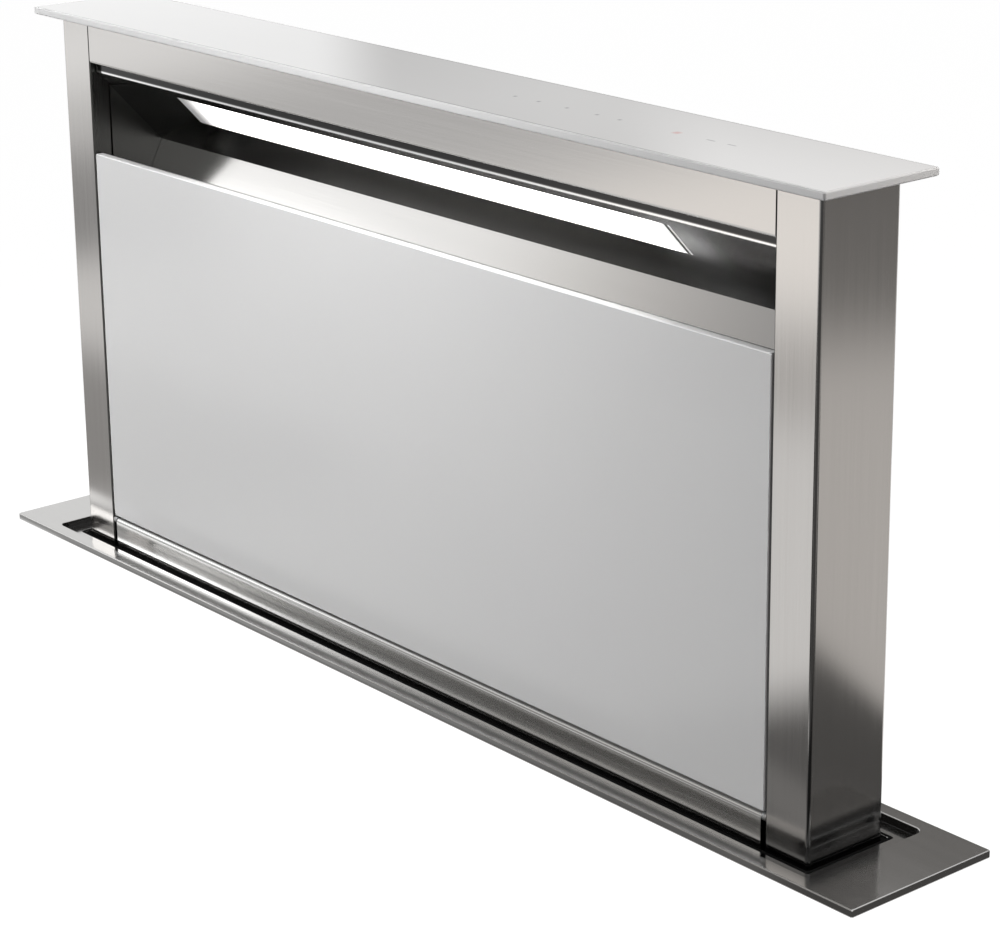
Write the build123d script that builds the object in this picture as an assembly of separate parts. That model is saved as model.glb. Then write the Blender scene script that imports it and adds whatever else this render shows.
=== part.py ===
from build123d import *
import os
from math import asin, cos, degrees, hypot, pi, radians, sin, tan

# A downdraft vent for a kitchen worktop: a tower of steel and glass that rises out of a flange.
# Millimetres. +X runs along the worktop, the front faces -Y and +Z is up.
# The origin is the middle of the flange, on the worktop's surface. The tower is drawn raised.

# ---- Driving dimensions: flange -------------------------------------------------------------
flange_side_margin = 43.0   # flat margin beside the recess
flange_front_margin = 10.5  # and in front of it
flange_top = 5.0            # top face above the worktop
flange_sheet = 1.5
flange_edge_radius = 0.9
flange_rim_gap = 0.3        # the folded rim stops short of the worktop, so that the gasket seals
recess_sink = 5.5           # the cap drops into this recess when the tower is down
recess_corner = 5.0
slot_gap = 3.0              # black slot between the tower and the recess floor
slot_corner = 3.0
gasket_side_width = 25.0
gasket_clearance = 0.3
seal_thickness = 2.0
seal_land = 4.0             # how far the seal reaches under the recess floor
seal_gap = 0.4

# ---- Driving dimensions: tower --------------------------------------------------------------
tower_width = 760.0
tower_depth = 62.0
tower_tail = 110.0          # what stays below the worktop when the tower is up
lift_travel = 396.0
tower_sheet = 1.2
column_face = 34.5
column_bend = 2.5
column_return = 15.0
joint_gap = 0.3             # between sheets of one assembly that lie side by side

cap_side_overhang = 15.0
cap_front_overhang = 14.0
cap_thickness = 5.0
cap_edge = 0.8
cap_recess_gap = 2.0
cap_rest_gap = 0.5
tray_sheet = 1.5
tray_lip = 12.0
board_thickness = 1.6
touch_board_length = 230.0
touch_board_end = 80.0      # from the board's right end to the tower's side
touch_board_depth = 28.0

fascia_height = 31.5
fascia_bend = 2.2
soffit_set_back = 5.0       # from the fascia's face to the soffit's front flange
soffit_drop = 6.5           # from the fascia's lower edge to the fold of the soffit
soffit_flange = 18.0
soffit_angle = 47.0
soffit_run = 52.0           # how far back the slope reaches
lens_side_margin = 130.0    # from the tower's side to the lens
lens_width = 28.0
lens_start = 7.3            # from the soffit's fold to the lens, along the slope
lens_thickness = 1.0
lens_flange = 3.0
channel_depth = 10.0
channel_wall = 1.2
led_board_width = 14.0

glass_bottom = 22.3
glass_height = 276.7
glass_thickness = 6.0
glass_side_gap = 1.5
glass_edge = 0.6
frame_thickness = 5.5
frame_border = 22.0
frame_foot_gap = 2.0        # from the glass's lower edge to its steel frame
ear_radius = 2.8
ear_width = 2.0
hinge_pin_radius = 2.0
hinge_drop = 3.8            # hinge axis below the glass
hinge_set_back = 2.8        # hinge axis behind the front face
running_gap = 0.05
magnet_size = (11.0, 9.0, 15.0)
magnet_drop = 29.0

rail_gap = 1.5              # between the glass and the rail below it
rail_nose = 4.0
rail_end_gap = 3.9
rail_return = 12.0
ledge_reach = 18.0
ledge_lip = 11.0
liner_thickness = 1.0
liner_gap = 0.3
baffle_back = 3.5           # the baffle's top, in front of the rear panel's inner face
baffle_drop = 55.5
baffle_lean = 17.0
baffle_fold = (15.0, 29.0)  # forward and down from its top to the fold
filter_thickness = 8.5
filter_lean = 4.0
filter_border = 12.0
filter_mesh_thickness = 4.5
filter_gap = 1.0
crossbar_height = 20.0
crossbar_depth = 18.0
crossbar_wall = 2.0

# ---- Driving dimensions: housing and lift ----------------------------------------------------
housing_side_room = 18.0    # between the tower and the housing's outside
housing_front_room = 17.0
housing_sheet = 1.2
well_reserve = 234.0        # below the tower's foot when it is down
housing_ledge = 9.0
housing_lip = 14.0
pan_flange = 15.0
guide_overrun = 14.0        # how far the guide rails reach below the lowest shoe's travel
guide_top = -8.0
guide_front = 12.0
guide_width = 18.0
guide_reach = 12.8
guide_wall = 1.5
shoe_gap = 0.4
shoe_height = 30.0
shoe_tops = (-20.0, -76.0)
pad_height = 32.0
pad_width = 30.0
pad_side_margin = 80.0      # from the tower's side to the pad's middle
pad_top = -8.0
pad_gap = 0.4

belt_y = -8.0
belt_radius = 15.0
belt_thickness = 1.4
belt_width = 8.0
belt_out = 8.5              # from the tower's side to the belt's middle
belt_clearance = 0.3
pulley_flange = 1.0
pulley_teeth = 20
tooth_radius = 1.0
idler_z = -28.0
shaft_rise = 25.0           # shaft's axis above the housing's underside
shaft_radius = 5.0
idler_pin_radius = 3.0
clamp_height = 20.0
clamp_jaw = 4.3
bearing_in = 9.0            # from the tower's side inwards to the bearing's middle
bearing_width = 12.0
bearing_half_depth = 14.0
bearing_top = 13.0
gearbox_in = 140.0          # from the tower's side inwards to the gearbox
gearbox_length = 60.0
gearbox_half_depth = 24.0
gearbox_height = 92.0
gearmotor_radius = 21.0
gearmotor_length = 90.0
gearmotor_rise = 46.0
bracket_sheet = 1.5
bracket_margin = 6.0

# ---- Driving dimensions: blower, outlet, electrics, feet ------------------------------------
fan_x = 0.0
fan_rise = 140.0            # fan's axis above the housing's underside
fan_radius = 75.0
fan_length = 84.0
blade_count = 40
blade_depth = 12.0
blade_thickness = 1.0
blade_lean = 5.0
blade_inset = 1.0
fan_disc = 2.0
fan_ring = 3.0
fan_hub_radius = 12.0
fan_hub_length = 20.0
fan_shaft_radius = 4.0
fan_shaft_in_motor = 20.0
volute_gap = 8.0
volute_growth = 35.0
volute_sweep = 290.0
tongue_angle = 20.0
volute_wall = 2.0
volute_depth = 102.0
volute_back = -56.0
volute_duct = 118.0
inlet_radius = 60.0
inlet_flange = 9.0          # square flange round the inlet ring
fan_inlet_gap = 8.0
motor_radius = 44.0
motor_length = 60.0
box_left = 125.0            # from the fan's axis to the box's sides, underside and top
box_right = 205.0
box_below = 135.0
box_above = 162.0
box_motor_gap = 10.0        # from the motor to the lid's outside
box_sheet = 1.2
box_post = 9.0
outlet_radius = 75.0
outlet_wall = 2.0
outlet_length = 60.0
outlet_flange = 10.0
outlet_margin = 2.0         # from the collar's flange to the box's front
outlet_rise = 73.0          # outlet axis above the fan's axis
flap_x = 20.0               # flap hinge line, from the box's side
flap_thickness = 1.6
flap_gap = 1.0
flap_pin_radius = 1.5
flap_knuckle = 2.6
flap_offset = 4.2
flap_bar = (6.0, 2.4)
knuckle_half_height = 60.0

control_margin = 13.0       # from the housing's side to the control box
control_length = 200.0
control_height = 150.0
control_rise = 120.0        # control box above the housing's underside
control_depth = 50.0
control_wall = 2.0
control_post = 8.0
gland_radius = 9.0
gland_length = 22.0
gland_bore = 4.0
foot_width = 50.0
foot_reach = 42.0
foot_sheet = 2.5
foot_leg = 120.0
foot_drop = 20.0            # foot below the housing
foot_hole_radius = 3.0
foot_hole_x = 27.0
foot_hole_spacing = 30.0
foot_bolt_y = 15.0
foot_bolt_rise = 85.0       # bolts above the housing's underside
foot_slot_length = 50.0

screw_margin = 40.0         # from the housing's underside to its first screw
screw_pitch = 160.0
screw_radius = 2.0
screw_head_radius = 3.8
screw_head_height = 2.2
screw_length = 6.0
bolt_scale = 1.5

# ---- Derived places ---------------------------------------------------------------------------
half_width = tower_width / 2
half_depth = tower_depth / 2
cap_length = tower_width + 2 * cap_side_overhang
cap_depth = tower_depth + 2 * cap_front_overhang
recess_length = cap_length + 2 * cap_recess_gap
recess_depth = cap_depth + 2 * cap_recess_gap
flange_length = recess_length + 2 * flange_side_margin
flange_depth = recess_depth + 2 * flange_front_margin
recess_floor = flange_top - recess_sink
tray_bottom = recess_floor - flange_sheet
tower_top = recess_floor + cap_rest_gap + lift_travel
tower_bottom = -tower_tail
touch_board_x = (half_width - touch_board_end - touch_board_length, half_width - touch_board_end)
lens_length = tower_width - 2 * lens_side_margin
column_inner = half_width - column_face
between = column_inner - joint_gap          # half width of what lies between the columns
fascia_low = tower_top - fascia_height
soffit_front = -half_depth + soffit_set_back
soffit_fold = fascia_low - soffit_drop
soffit_back = soffit_front + soffit_run
soffit_low = soffit_fold - soffit_run * tan(radians(soffit_angle))
liner_face = between - liner_thickness
inside = liner_face - joint_gap             # half width of what lies between the liners
rear_inner = half_depth - tower_sheet
glass_top = glass_bottom + glass_height
glass_half = column_inner - glass_side_gap
glass_rear = -half_depth + glass_thickness
frame_rear = glass_rear + frame_thickness
hinge_y = -half_depth + hinge_set_back
hinge_z = glass_bottom - hinge_drop
rail_top = glass_bottom - rail_gap
rail_axis_y = -half_depth + rail_nose
rail_axis_z = rail_top - rail_nose
rail_back = rail_axis_y + rail_nose
ledge_z = rail_axis_z - rail_return + tower_sheet
housing_half = half_width + housing_side_room
housing_front_y = -half_depth - housing_front_room
housing_inner = housing_half - housing_sheet
housing_bottom = tower_bottom - lift_travel - well_reserve
screw_count = int((tray_bottom - housing_bottom - screw_margin) / screw_pitch) + 1
guide_low = shoe_tops[-1] - shoe_height - lift_travel - guide_overrun
pad_x = half_width - pad_side_margin
belt_x = half_width + belt_out
bearing_x = half_width - bearing_in
gearbox_x = (half_width - gearbox_in - gearbox_length, half_width - gearbox_in)
shaft_z = housing_bottom + shaft_rise
pan_top = housing_bottom + housing_sheet
pulley_radius = belt_radius - belt_clearance
fan_z = housing_bottom + fan_rise
box_x = (fan_x - box_left, fan_x + box_right)
box_z = (fan_z - box_below, fan_z + box_above)
control_x = (control_margin - housing_half, control_margin - housing_half + control_length)
control_z = (housing_bottom + control_rise, housing_bottom + control_rise + control_height)
foot_bolt_z = housing_bottom + foot_bolt_rise
fan_front = volute_back - volute_wall - fan_inlet_gap - fan_length
volute_front = volute_back - volute_depth
box_front = volute_front - motor_length - box_motor_gap
outlet_y = box_front + outlet_margin + outlet_flange + outlet_radius
outlet_z = fan_z + outlet_rise
foot_bottom = housing_bottom - foot_drop
volute_radius = fan_radius + volute_gap
inlet_x = (fan_x - inlet_radius - volute_wall, fan_x + inlet_radius + volute_wall)
inlet_z = (fan_z - inlet_radius - volute_wall, fan_z + inlet_radius + volute_wall)
tongue_z = volute_radius * sin(radians(tongue_angle))


# ---- Small helpers ------------------------------------------------------------------------------
def block(x, y, z):
    """A box between two limits on each axis."""
    middle = [(low + high) / 2 for low, high in (x, y, z)]
    return Pos(*middle) * Box(*[abs(high - low) for low, high in (x, y, z)])


def rounded_block(length, depth, low, high, corner):
    """A box centred on the origin in plan, with rounded upright corners."""
    return extrude(Plane.XY.offset(low) * RectangleRounded(length, depth, corner), high - low)


def along_x(outline, low, high):
    """Carries an outline drawn in Y and Z from one X to another."""
    return extrude(Plane.YZ.offset(low) * outline, high - low)


def along_y(outline, front, back):
    """Carries an outline drawn in X and Z from one Y to another."""
    return extrude(Plane.XZ.offset(-back) * outline, back - front)


def strip(points, thickness):
    """The outline of a bent sheet: a line of points, and its copy offset to the left."""
    directions = [(b[0] - a[0], b[1] - a[1]) for a, b in zip(points, points[1:])]
    normals = [(-dv / hypot(du, dv), du / hypot(du, dv)) for du, dv in directions]
    pairs = zip([normals[0]] + normals, normals + [normals[-1]])
    offset_points = []
    for (u, v), (n, m) in zip(points, pairs):
        share = thickness / (1 + n[0] * m[0] + n[1] * m[1])
        offset_points.append((u + (n[0] + m[0]) * share, v + (n[1] + m[1]) * share))
    return make_face(Polyline(*points, *reversed(offset_points), close=True))


def rod_x(radius, low, high, y, z):
    """A cylinder along X."""
    return Pos(low, y, z) * Rot(0, 90, 0) * Cylinder(radius, high - low, align=FROM_BASE)


def rod_y(radius, front, back, x, z):
    """A cylinder along Y."""
    return Pos(x, back, z) * Rot(90, 0, 0) * Cylinder(radius, back - front, align=FROM_BASE)


def rod_z(radius, low, high, x, y):
    """An upright cylinder."""
    return Pos(x, y, low) * Cylinder(radius, high - low, align=FROM_BASE)


def both(shape):
    """A shape and its mirror image on the other side of the tower."""
    return [shape, mirror(shape, Plane.YZ)]


def front_screws(points, face):
    """Screws driven along +Y, with their heads on a face."""
    heads = [rod_y(screw_head_radius, face - screw_head_height, face, x, z) for x, z in points]
    shanks = [rod_y(screw_radius, face, face + screw_length, x, z) for x, z in points]
    return [head + shank for head, shank in zip(heads, shanks)]


def front_holes(points, face):
    """Clearance for front_screws."""
    reach = screw_length + joint_gap
    return [rod_y(screw_radius + running_gap, face, face + reach, x, z) for x, z in points]


def save(name, *shapes):
    """Writes one node as a STEP file."""
    solids = [solid for shape in shapes for solid in shape.solids()]
    export_step(solids[0] if len(solids) == 1 else Compound(solids), f"parts/{name}.step")


FROM_BASE = (Align.CENTER, Align.CENTER, Align.MIN)


# ---- Flange on the worktop ------------------------------------------------------------------------
def make_flange():
    """The folded steel flange with its recess and the opening for the tower."""
    plate = block(
        (-flange_length / 2, flange_length / 2), (-flange_depth / 2, flange_depth / 2),
        (flange_rim_gap, flange_top),
    )
    plate = fillet(plate.faces().sort_by(Axis.Z)[-1].edges(), flange_edge_radius)
    hollow = block(
        (-flange_length / 2 + flange_sheet, flange_length / 2 - flange_sheet),
        (-flange_depth / 2 + flange_sheet, flange_depth / 2 - flange_sheet),
        (flange_rim_gap, flange_top - flange_sheet),
    )
    wall = 2 * flange_sheet
    tray = rounded_block(
        recess_length + wall, recess_depth + wall, tray_bottom, flange_top - flange_sheet,
        recess_corner + flange_sheet,
    )
    pocket = rounded_block(recess_length, recess_depth, recess_floor, flange_top, recess_corner)
    opening = rounded_block(
        tower_width + 2 * slot_gap, tower_depth + 2 * slot_gap, tray_bottom, flange_top, slot_corner
    )
    flange = plate - hollow + tray - pocket - opening
    rim = [
        edge for edge in flange.edges().filter_by_position(Axis.Z, flange_top, flange_top)
        if abs(edge.center().Y) < recess_depth / 2 + slot_gap
        and abs(edge.center().X) < recess_length / 2 + slot_gap
    ]
    return fillet(rim, flange_edge_radius)


def make_gasket():
    """Foam gasket between the flange and the worktop."""
    length = flange_length - 2 * (flange_sheet + gasket_clearance)
    depth = flange_depth - 2 * (flange_sheet + gasket_clearance)
    inner_depth = recess_depth + 2 * (flange_sheet + gasket_clearance)
    ring = Rectangle(length, depth) - Rectangle(length - 2 * gasket_side_width, inner_depth)
    return extrude(ring, flange_top - flange_sheet)


def make_seal():
    """Rubber ring under the slot, just clear of the tower."""
    outer = RectangleRounded(
        tower_width + 2 * (slot_gap + seal_land), tower_depth + 2 * (slot_gap + seal_land), slot_corner
    )
    inner = RectangleRounded(
        tower_width + 2 * seal_gap, tower_depth + 2 * seal_gap, column_bend + seal_gap
    )
    return extrude(Plane.XY.offset(tray_bottom - seal_thickness) * (outer - inner), seal_thickness)


# ---- Housing under the worktop ----------------------------------------------------------------------
front_screw_spots = [
    (side * (housing_half - housing_lip / 2), housing_bottom + screw_margin + step * screw_pitch)
    for side in (-1, 1) for step in range(screw_count)
]
foot_bolt_spots = [(side, y) for side in (-1, 1) for y in (-foot_bolt_y, foot_bolt_y)]


def make_housing_back():
    """Rear wall and both sides of the housing, folded from one sheet, with lips."""
    t = housing_sheet
    height = (housing_bottom, tray_bottom)
    back = block((-housing_half, housing_half), (-housing_front_y - t, -housing_front_y), height)
    side = block((housing_inner, housing_half), (housing_front_y + t, -housing_front_y), height)
    lip = block(
        (housing_half - housing_lip, housing_half), (housing_front_y + t, housing_front_y + 2 * t),
        height,
    )
    ledge_side = block(
        (housing_half - housing_ledge, housing_half), (housing_front_y + t, -housing_front_y),
        (tray_bottom - t, tray_bottom),
    )
    ledge_back = block(
        (-housing_half, housing_half), (-housing_front_y - housing_ledge, -housing_front_y),
        (tray_bottom - t, tray_bottom),
    )
    shell = back + both(side) + both(lip) + both(ledge_side) + ledge_back
    bolt_holes = [
        rod_x(screw_radius * bolt_scale + running_gap, side * housing_half - 2 * t,
              side * housing_half + 2 * t, y, foot_bolt_z)
        for side, y in foot_bolt_spots
    ]
    return shell - front_holes(front_screw_spots, housing_front_y) - bolt_holes


def make_housing_front():
    """Removable front sheet of the housing, with the blower's inlet."""
    t = housing_sheet
    sheet = block(
        (-housing_half, housing_half), (housing_front_y, housing_front_y + t),
        (housing_bottom, tray_bottom),
    )
    ledge = block(
        (-housing_half + housing_lip + joint_gap, housing_half - housing_lip - joint_gap),
        (housing_front_y, housing_front_y + housing_ledge), (tray_bottom - t, tray_bottom),
    )
    inlet = block(inlet_x, (housing_front_y - t, housing_front_y + 2 * t), inlet_z)
    return sheet + ledge - inlet - front_holes(front_screw_spots, housing_front_y)


def make_housing_pan():
    """Bottom pan of the housing, with upturned front and rear flanges."""
    t = housing_sheet
    front = housing_front_y + 2 * t
    floor_x = (-housing_inner, housing_inner)
    floor = block(floor_x, (front, -housing_front_y - t), (housing_bottom, pan_top))
    rear = block(floor_x, (-housing_front_y - 2 * t, -housing_front_y - t),
                 (housing_bottom, housing_bottom + pan_flange))
    nose = block(floor_x, (front, front + t), (housing_bottom, housing_bottom + pan_flange))
    return floor + rear + nose


def make_guide_rails():
    """Steel channels in which the tower's shoes run."""
    outer = block((housing_inner - guide_reach, housing_inner),
                  (guide_front, guide_front + guide_width), (guide_low, guide_top))
    groove = block((housing_inner - guide_reach, housing_inner - guide_wall),
                   (guide_front + guide_wall, guide_front + guide_width - guide_wall), (guide_low, guide_top))
    return both(outer - groove)


def make_pads():
    """Plastic pads that steady the tower just under the flange."""
    pads = []
    for x in (-pad_x, pad_x):
        for side in (-1, 1):
            near = side * (half_depth + pad_gap)
            far = side * (-housing_front_y - housing_sheet)
            pads.append(block((x - pad_width / 2, x + pad_width / 2), tuple(sorted((near, far))),
                              (pad_top - pad_height, pad_top)))
    return pads


# ---- Belt lift ----------------------------------------------------------------------------------------
def make_belts():
    """The two closed belts that lift the tower, one at each side."""
    span = idler_z - shaft_z
    outer = SlotCenterToCenter(span, 2 * (belt_radius + belt_thickness), rotation=90)
    inner = SlotCenterToCenter(span, 2 * belt_radius, rotation=90)
    loop = Pos(belt_y, (idler_z + shaft_z) / 2) * (outer - inner)
    return both(along_x(loop, belt_x - belt_width / 2, belt_x + belt_width / 2))


def make_pulley(bore, z):
    """A toothed pulley with two flanges, on the right-hand side."""
    low = belt_x - belt_width / 2 - belt_clearance
    high = belt_x + belt_width / 2 + belt_clearance
    wheel = rod_x(pulley_radius, low, high, belt_y, z)
    for tooth in range(pulley_teeth):
        turn = 2 * pi * tooth / pulley_teeth
        wheel -= rod_x(tooth_radius, low, high, belt_y + pulley_radius * cos(turn),
                       z + pulley_radius * sin(turn))
    rim = belt_radius + belt_thickness + pulley_flange
    wheel += rod_x(rim, low - pulley_flange, low, belt_y, z)
    wheel += rod_x(rim, high, high + pulley_flange, belt_y, z)
    return wheel - rod_x(bore, low - 2 * pulley_flange, high + 2 * pulley_flange, belt_y, z)


def make_idler_axles():
    """Pins on the housing's sides that carry the upper pulleys."""
    inner = belt_x - belt_width / 2 - belt_clearance - pulley_flange
    outer = belt_x + belt_width / 2 + belt_clearance + pulley_flange
    clip = pulley_flange
    pin = rod_x(idler_pin_radius, inner - joint_gap, housing_inner, belt_y, idler_z)
    head = rod_x(2 * idler_pin_radius, outer + joint_gap, housing_inner, belt_y, idler_z)
    ring = rod_x(1.5 * idler_pin_radius, inner - joint_gap - clip, inner - joint_gap, belt_y, idler_z)
    return both(pin + head + ring)


def make_drive_shaft():
    """Cross shaft that turns both lower pulleys together."""
    end = belt_x + belt_width / 2 + belt_clearance + 2 * pulley_flange
    return rod_x(shaft_radius, -end, end, belt_y, shaft_z)


def make_shaft_bearings():
    """Two bearing blocks on the bottom pan."""
    block_shape = block(
        (bearing_x - bearing_width / 2, bearing_x + bearing_width / 2),
        (belt_y - bearing_half_depth, belt_y + bearing_half_depth), (pan_top, shaft_z + bearing_top),
    )
    bore = rod_x(shaft_radius + running_gap, bearing_x - bearing_width, bearing_x + bearing_width,
                 belt_y, shaft_z)
    return both(block_shape - bore)


def make_gearmotor():
    """Worm gearbox round the shaft, with its motor above."""
    low = pan_top + bracket_sheet
    gearbox = block(gearbox_x, (belt_y - gearbox_half_depth, belt_y + gearbox_half_depth),
                    (low, low + gearbox_height))
    gearbox = fillet(gearbox.edges().filter_by(Axis.X), 2 * bracket_sheet)
    motor = rod_x(gearmotor_radius, gearbox_x[1], gearbox_x[1] + gearmotor_length, belt_y,
                  shaft_z + gearmotor_rise)
    motor = chamfer(motor.faces().sort_by(Axis.X)[-1].edges(), bracket_sheet)
    bore = rod_x(shaft_radius + running_gap, gearbox_x[0], gearbox_x[1], belt_y, shaft_z)
    return gearbox + motor - bore


def make_gearmotor_bracket():
    """Plate between the gearbox and the bottom pan."""
    return block(
        (gearbox_x[0] - bracket_margin, gearbox_x[1] + bracket_margin),
        (belt_y - gearbox_half_depth - bracket_margin, belt_y + gearbox_half_depth + bracket_margin),
        (pan_top, pan_top + bracket_sheet),
    )


def make_belt_clamps():
    """Jaws on the tower's columns that grip the front run of each belt."""
    run = belt_y - belt_radius - belt_thickness
    low = tower_bottom + bracket_margin
    outer = block((half_width, belt_x + belt_width / 2 + belt_clearance),
                  (run - clamp_jaw, run + belt_thickness + clamp_jaw), (low, low + clamp_height))
    slot = block((belt_x - belt_width / 2 - belt_clearance, housing_half),
                 (run - belt_clearance, run + belt_thickness + belt_clearance),
                 (low, low + clamp_height))
    return both(outer - slot)


def make_shoes():
    """Sliding shoes on the columns."""
    shoes = []
    for top in shoe_tops:
        shoe = block(
            (half_width, housing_inner - guide_wall - shoe_gap),
            (guide_front + guide_wall + shoe_gap, guide_front + guide_width - guide_wall - shoe_gap),
            (top - shoe_height, top),
        )
        shoes += both(shoe)
    return shoes


# ---- Tower: carcass -------------------------------------------------------------------------------------
def make_column():
    """Right-hand column: a folded steel channel that is open towards the middle."""
    face = Pos(half_width - column_face / 2, 0) * Rectangle(column_face, tower_depth)
    face = fillet(face.vertices().group_by(Axis.X)[-1], column_bend)
    core = Pos(half_width - column_face / 2, 0) * Rectangle(
        column_face - 2 * tower_sheet, tower_depth - 2 * tower_sheet)
    core = fillet(core.vertices().group_by(Axis.X)[-1], column_bend - tower_sheet)
    mouth = Pos(column_inner, 0) * Rectangle(column_return, tower_depth - 2 * column_return)
    return extrude(Plane.XY.offset(tower_bottom) * (face - core - mouth), tower_top - tower_bottom)


def make_rear_panel():
    """Rear sheet between the columns, with forward flanges."""
    sheet = block((-between, between), (rear_inner, half_depth), (tower_bottom, tower_top))
    flange = block((between - tower_sheet, between), (half_depth - column_return + joint_gap, half_depth),
                   (tower_bottom, ledge_z - joint_gap))
    return sheet + both(flange)


def make_fascia():
    """Front beam above the suction slot, with its lower edge rolled inwards."""
    lip = (soffit_front - joint_gap, fascia_low + tower_sheet)
    outline = strip([(lip[0], fascia_low), (-half_depth, fascia_low), (-half_depth, tower_top)],
                    -tower_sheet)
    outline = fillet(
        [v for v in outline.vertices() if v.Y < fascia_low + 0.01 and v.X < -half_depth + 0.01],
        fascia_bend)
    return along_x(outline, -between, between)


def make_lower_rail():
    """Front rail below the glass, with a rolled upper edge."""
    front = Pos(-half_depth + tower_sheet / 2, (tower_bottom + rail_axis_z) / 2) * Rectangle(
        tower_sheet, rail_axis_z - tower_bottom)
    ring = Pos(rail_axis_y, rail_axis_z) * (Circle(rail_nose) - Circle(rail_nose - tower_sheet))
    below = Pos(rail_axis_y, rail_axis_z - rail_nose) * Rectangle(4 * rail_nose, 2 * rail_nose)
    back = Pos(rail_back - tower_sheet / 2, rail_axis_z - rail_return / 2) * Rectangle(
        tower_sheet, rail_return)
    end = column_inner - rail_end_gap
    return along_x(front + (ring - below) + back, -end, end)


def make_filter_ledge():
    """Ledge behind the rail that carries the grease filters."""
    start = rail_back + joint_gap
    outline = strip(
        [(start, ledge_z - tower_sheet), (start + ledge_reach, ledge_z - tower_sheet),
         (start + ledge_reach, ledge_z + ledge_lip)], tower_sheet)
    return along_x(outline, -inside, inside)


def make_crossbar():
    """Box section across the foot of the tower."""
    y = (rear_inner - joint_gap - crossbar_depth, rear_inner - joint_gap)
    z = (tower_bottom, tower_bottom + crossbar_height)
    wall = crossbar_wall
    bar = block((-inside, inside), y, z)
    hollow = block((-inside, inside), (y[0] + wall, y[1] - wall), (z[0] + wall, z[1] - wall))
    return bar - hollow


def make_side_liners():
    """Inner cheeks of the suction slot, on the columns' inner faces."""
    return both(block((liner_face, between), (-half_depth + column_return + liner_gap, rear_inner - joint_gap),
                      (ledge_z, tower_top - tray_sheet - tray_lip - joint_gap)))


def make_soffit():
    """Sloping soffit behind the fascia, with a window for the lens."""
    outline = strip(
        [(soffit_front, soffit_fold + soffit_flange), (soffit_front, soffit_fold),
         (soffit_back, soffit_low), (rear_inner - joint_gap, soffit_low)], tower_sheet)
    window = Box(lens_length + 2 * joint_gap, lens_width + 2 * joint_gap, 4 * tower_sheet)
    return along_x(outline, -inside, inside) - lens_place * window


def make_baffle():
    """Bright rear baffle that leads the air down behind the glass."""
    top = (rear_inner - baffle_back, soffit_low - joint_gap)
    outline = strip(
        [(top[0] + baffle_back - joint_gap, top[1]), top,
         (top[0] - baffle_fold[0], top[1] - baffle_fold[1]),
         (top[0] - baffle_lean, top[1] - baffle_drop)], tower_sheet)
    return along_x(outline, -inside, inside)


# ---- Tower: lamp, cap, filters ---------------------------------------------------------------------------
slope = radians(soffit_angle)
lens_middle = lens_start + lens_width / 2
lens_place = Plane(
    origin=(0, soffit_front + lens_middle * cos(slope), soffit_fold - lens_middle * sin(slope)),
    x_dir=(1, 0, 0), z_dir=(0, -sin(slope), -cos(slope)))


def make_lens():
    """Opal lens: a plate in the soffit's window with a flange behind it."""
    plate = Pos(0, 0, -tower_sheet / 2 - joint_gap / 2) * Box(
        lens_length, lens_width, tower_sheet - joint_gap)
    flange = Pos(0, 0, -tower_sheet - lens_thickness / 2) * Box(
        lens_length + 2 * lens_flange, lens_width + 2 * lens_flange, lens_thickness)
    return lens_place * (plate + flange)


def make_led_channel():
    """Aluminium channel behind the lens."""
    face = -tower_sheet - lens_thickness
    outer = Pos(0, 0, face - channel_depth / 2) * Box(lens_length, lens_width, channel_depth)
    core = Pos(0, 0, face - (channel_depth - channel_wall) / 2) * Box(
        lens_length, lens_width - 2 * channel_wall, channel_depth - channel_wall)
    return lens_place * (outer - core)


def make_led_board():
    """Circuit board that carries the lamps, on the channel's floor."""
    face = -tower_sheet - lens_thickness - channel_depth + channel_wall
    return lens_place * (Pos(0, 0, face + board_thickness / 2) * Box(
        lens_length - 4 * channel_wall, led_board_width, board_thickness))


def make_cap_glass():
    """White glass cap with ground edges."""
    glass = block((-cap_length / 2, cap_length / 2), (-cap_depth / 2, cap_depth / 2),
                  (tower_top, tower_top + cap_thickness))
    ends = glass.faces().sort_by(Axis.Z)
    return chamfer(ends[0].edges() + ends[-1].edges(), cap_edge)


def make_cap_tray():
    """Steel tray under the cap, with a window for the touch board."""
    depth = rear_inner - joint_gap
    plate = block((-between, between), (-depth, depth), (tower_top - tray_sheet, tower_top))
    lip_y = (-depth, -depth + tray_sheet)
    lip = block((-between, between), lip_y, (tower_top - tray_sheet - tray_lip, tower_top))
    window = block(
        (touch_board_x[0] - joint_gap, touch_board_x[1] + joint_gap),
        (-touch_board_depth / 2 - joint_gap, touch_board_depth / 2 + joint_gap),
        (tower_top - 2 * tray_sheet, tower_top))
    return plate + lip + mirror(lip, Plane.XZ) - window


def make_touch_board():
    """Touch circuit against the underside of the glass."""
    return block(touch_board_x, (-touch_board_depth / 2, touch_board_depth / 2),
                 (tower_top - board_thickness, tower_top))


def make_filter(left):
    """One grease filter: a frame with a mesh sunk into both faces, leaning back."""
    length = (inside - 1.5 * filter_gap)
    bottom = ledge_z + joint_gap
    height = soffit_low - joint_gap - baffle_drop - filter_gap - bottom - filter_gap
    frame = Box(length, filter_thickness, height)
    cut = (filter_thickness - filter_mesh_thickness) / 2
    window = Box(length - 2 * filter_border, cut, height - 2 * filter_border)
    for side in (-1, 1):
        frame -= Pos(0, side * (filter_thickness - cut) / 2, 0) * window
    foot_y = frame_rear + 2 * filter_gap + filter_thickness / 2
    x = (length + filter_gap) / 2
    foot = Pos(-x if left else x, foot_y, bottom) * Rot(-filter_lean, 0, 0)
    lift = height / 2 + filter_thickness / 2 * tan(radians(filter_lean))
    return foot * Pos(0, 0, lift) * frame


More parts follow.
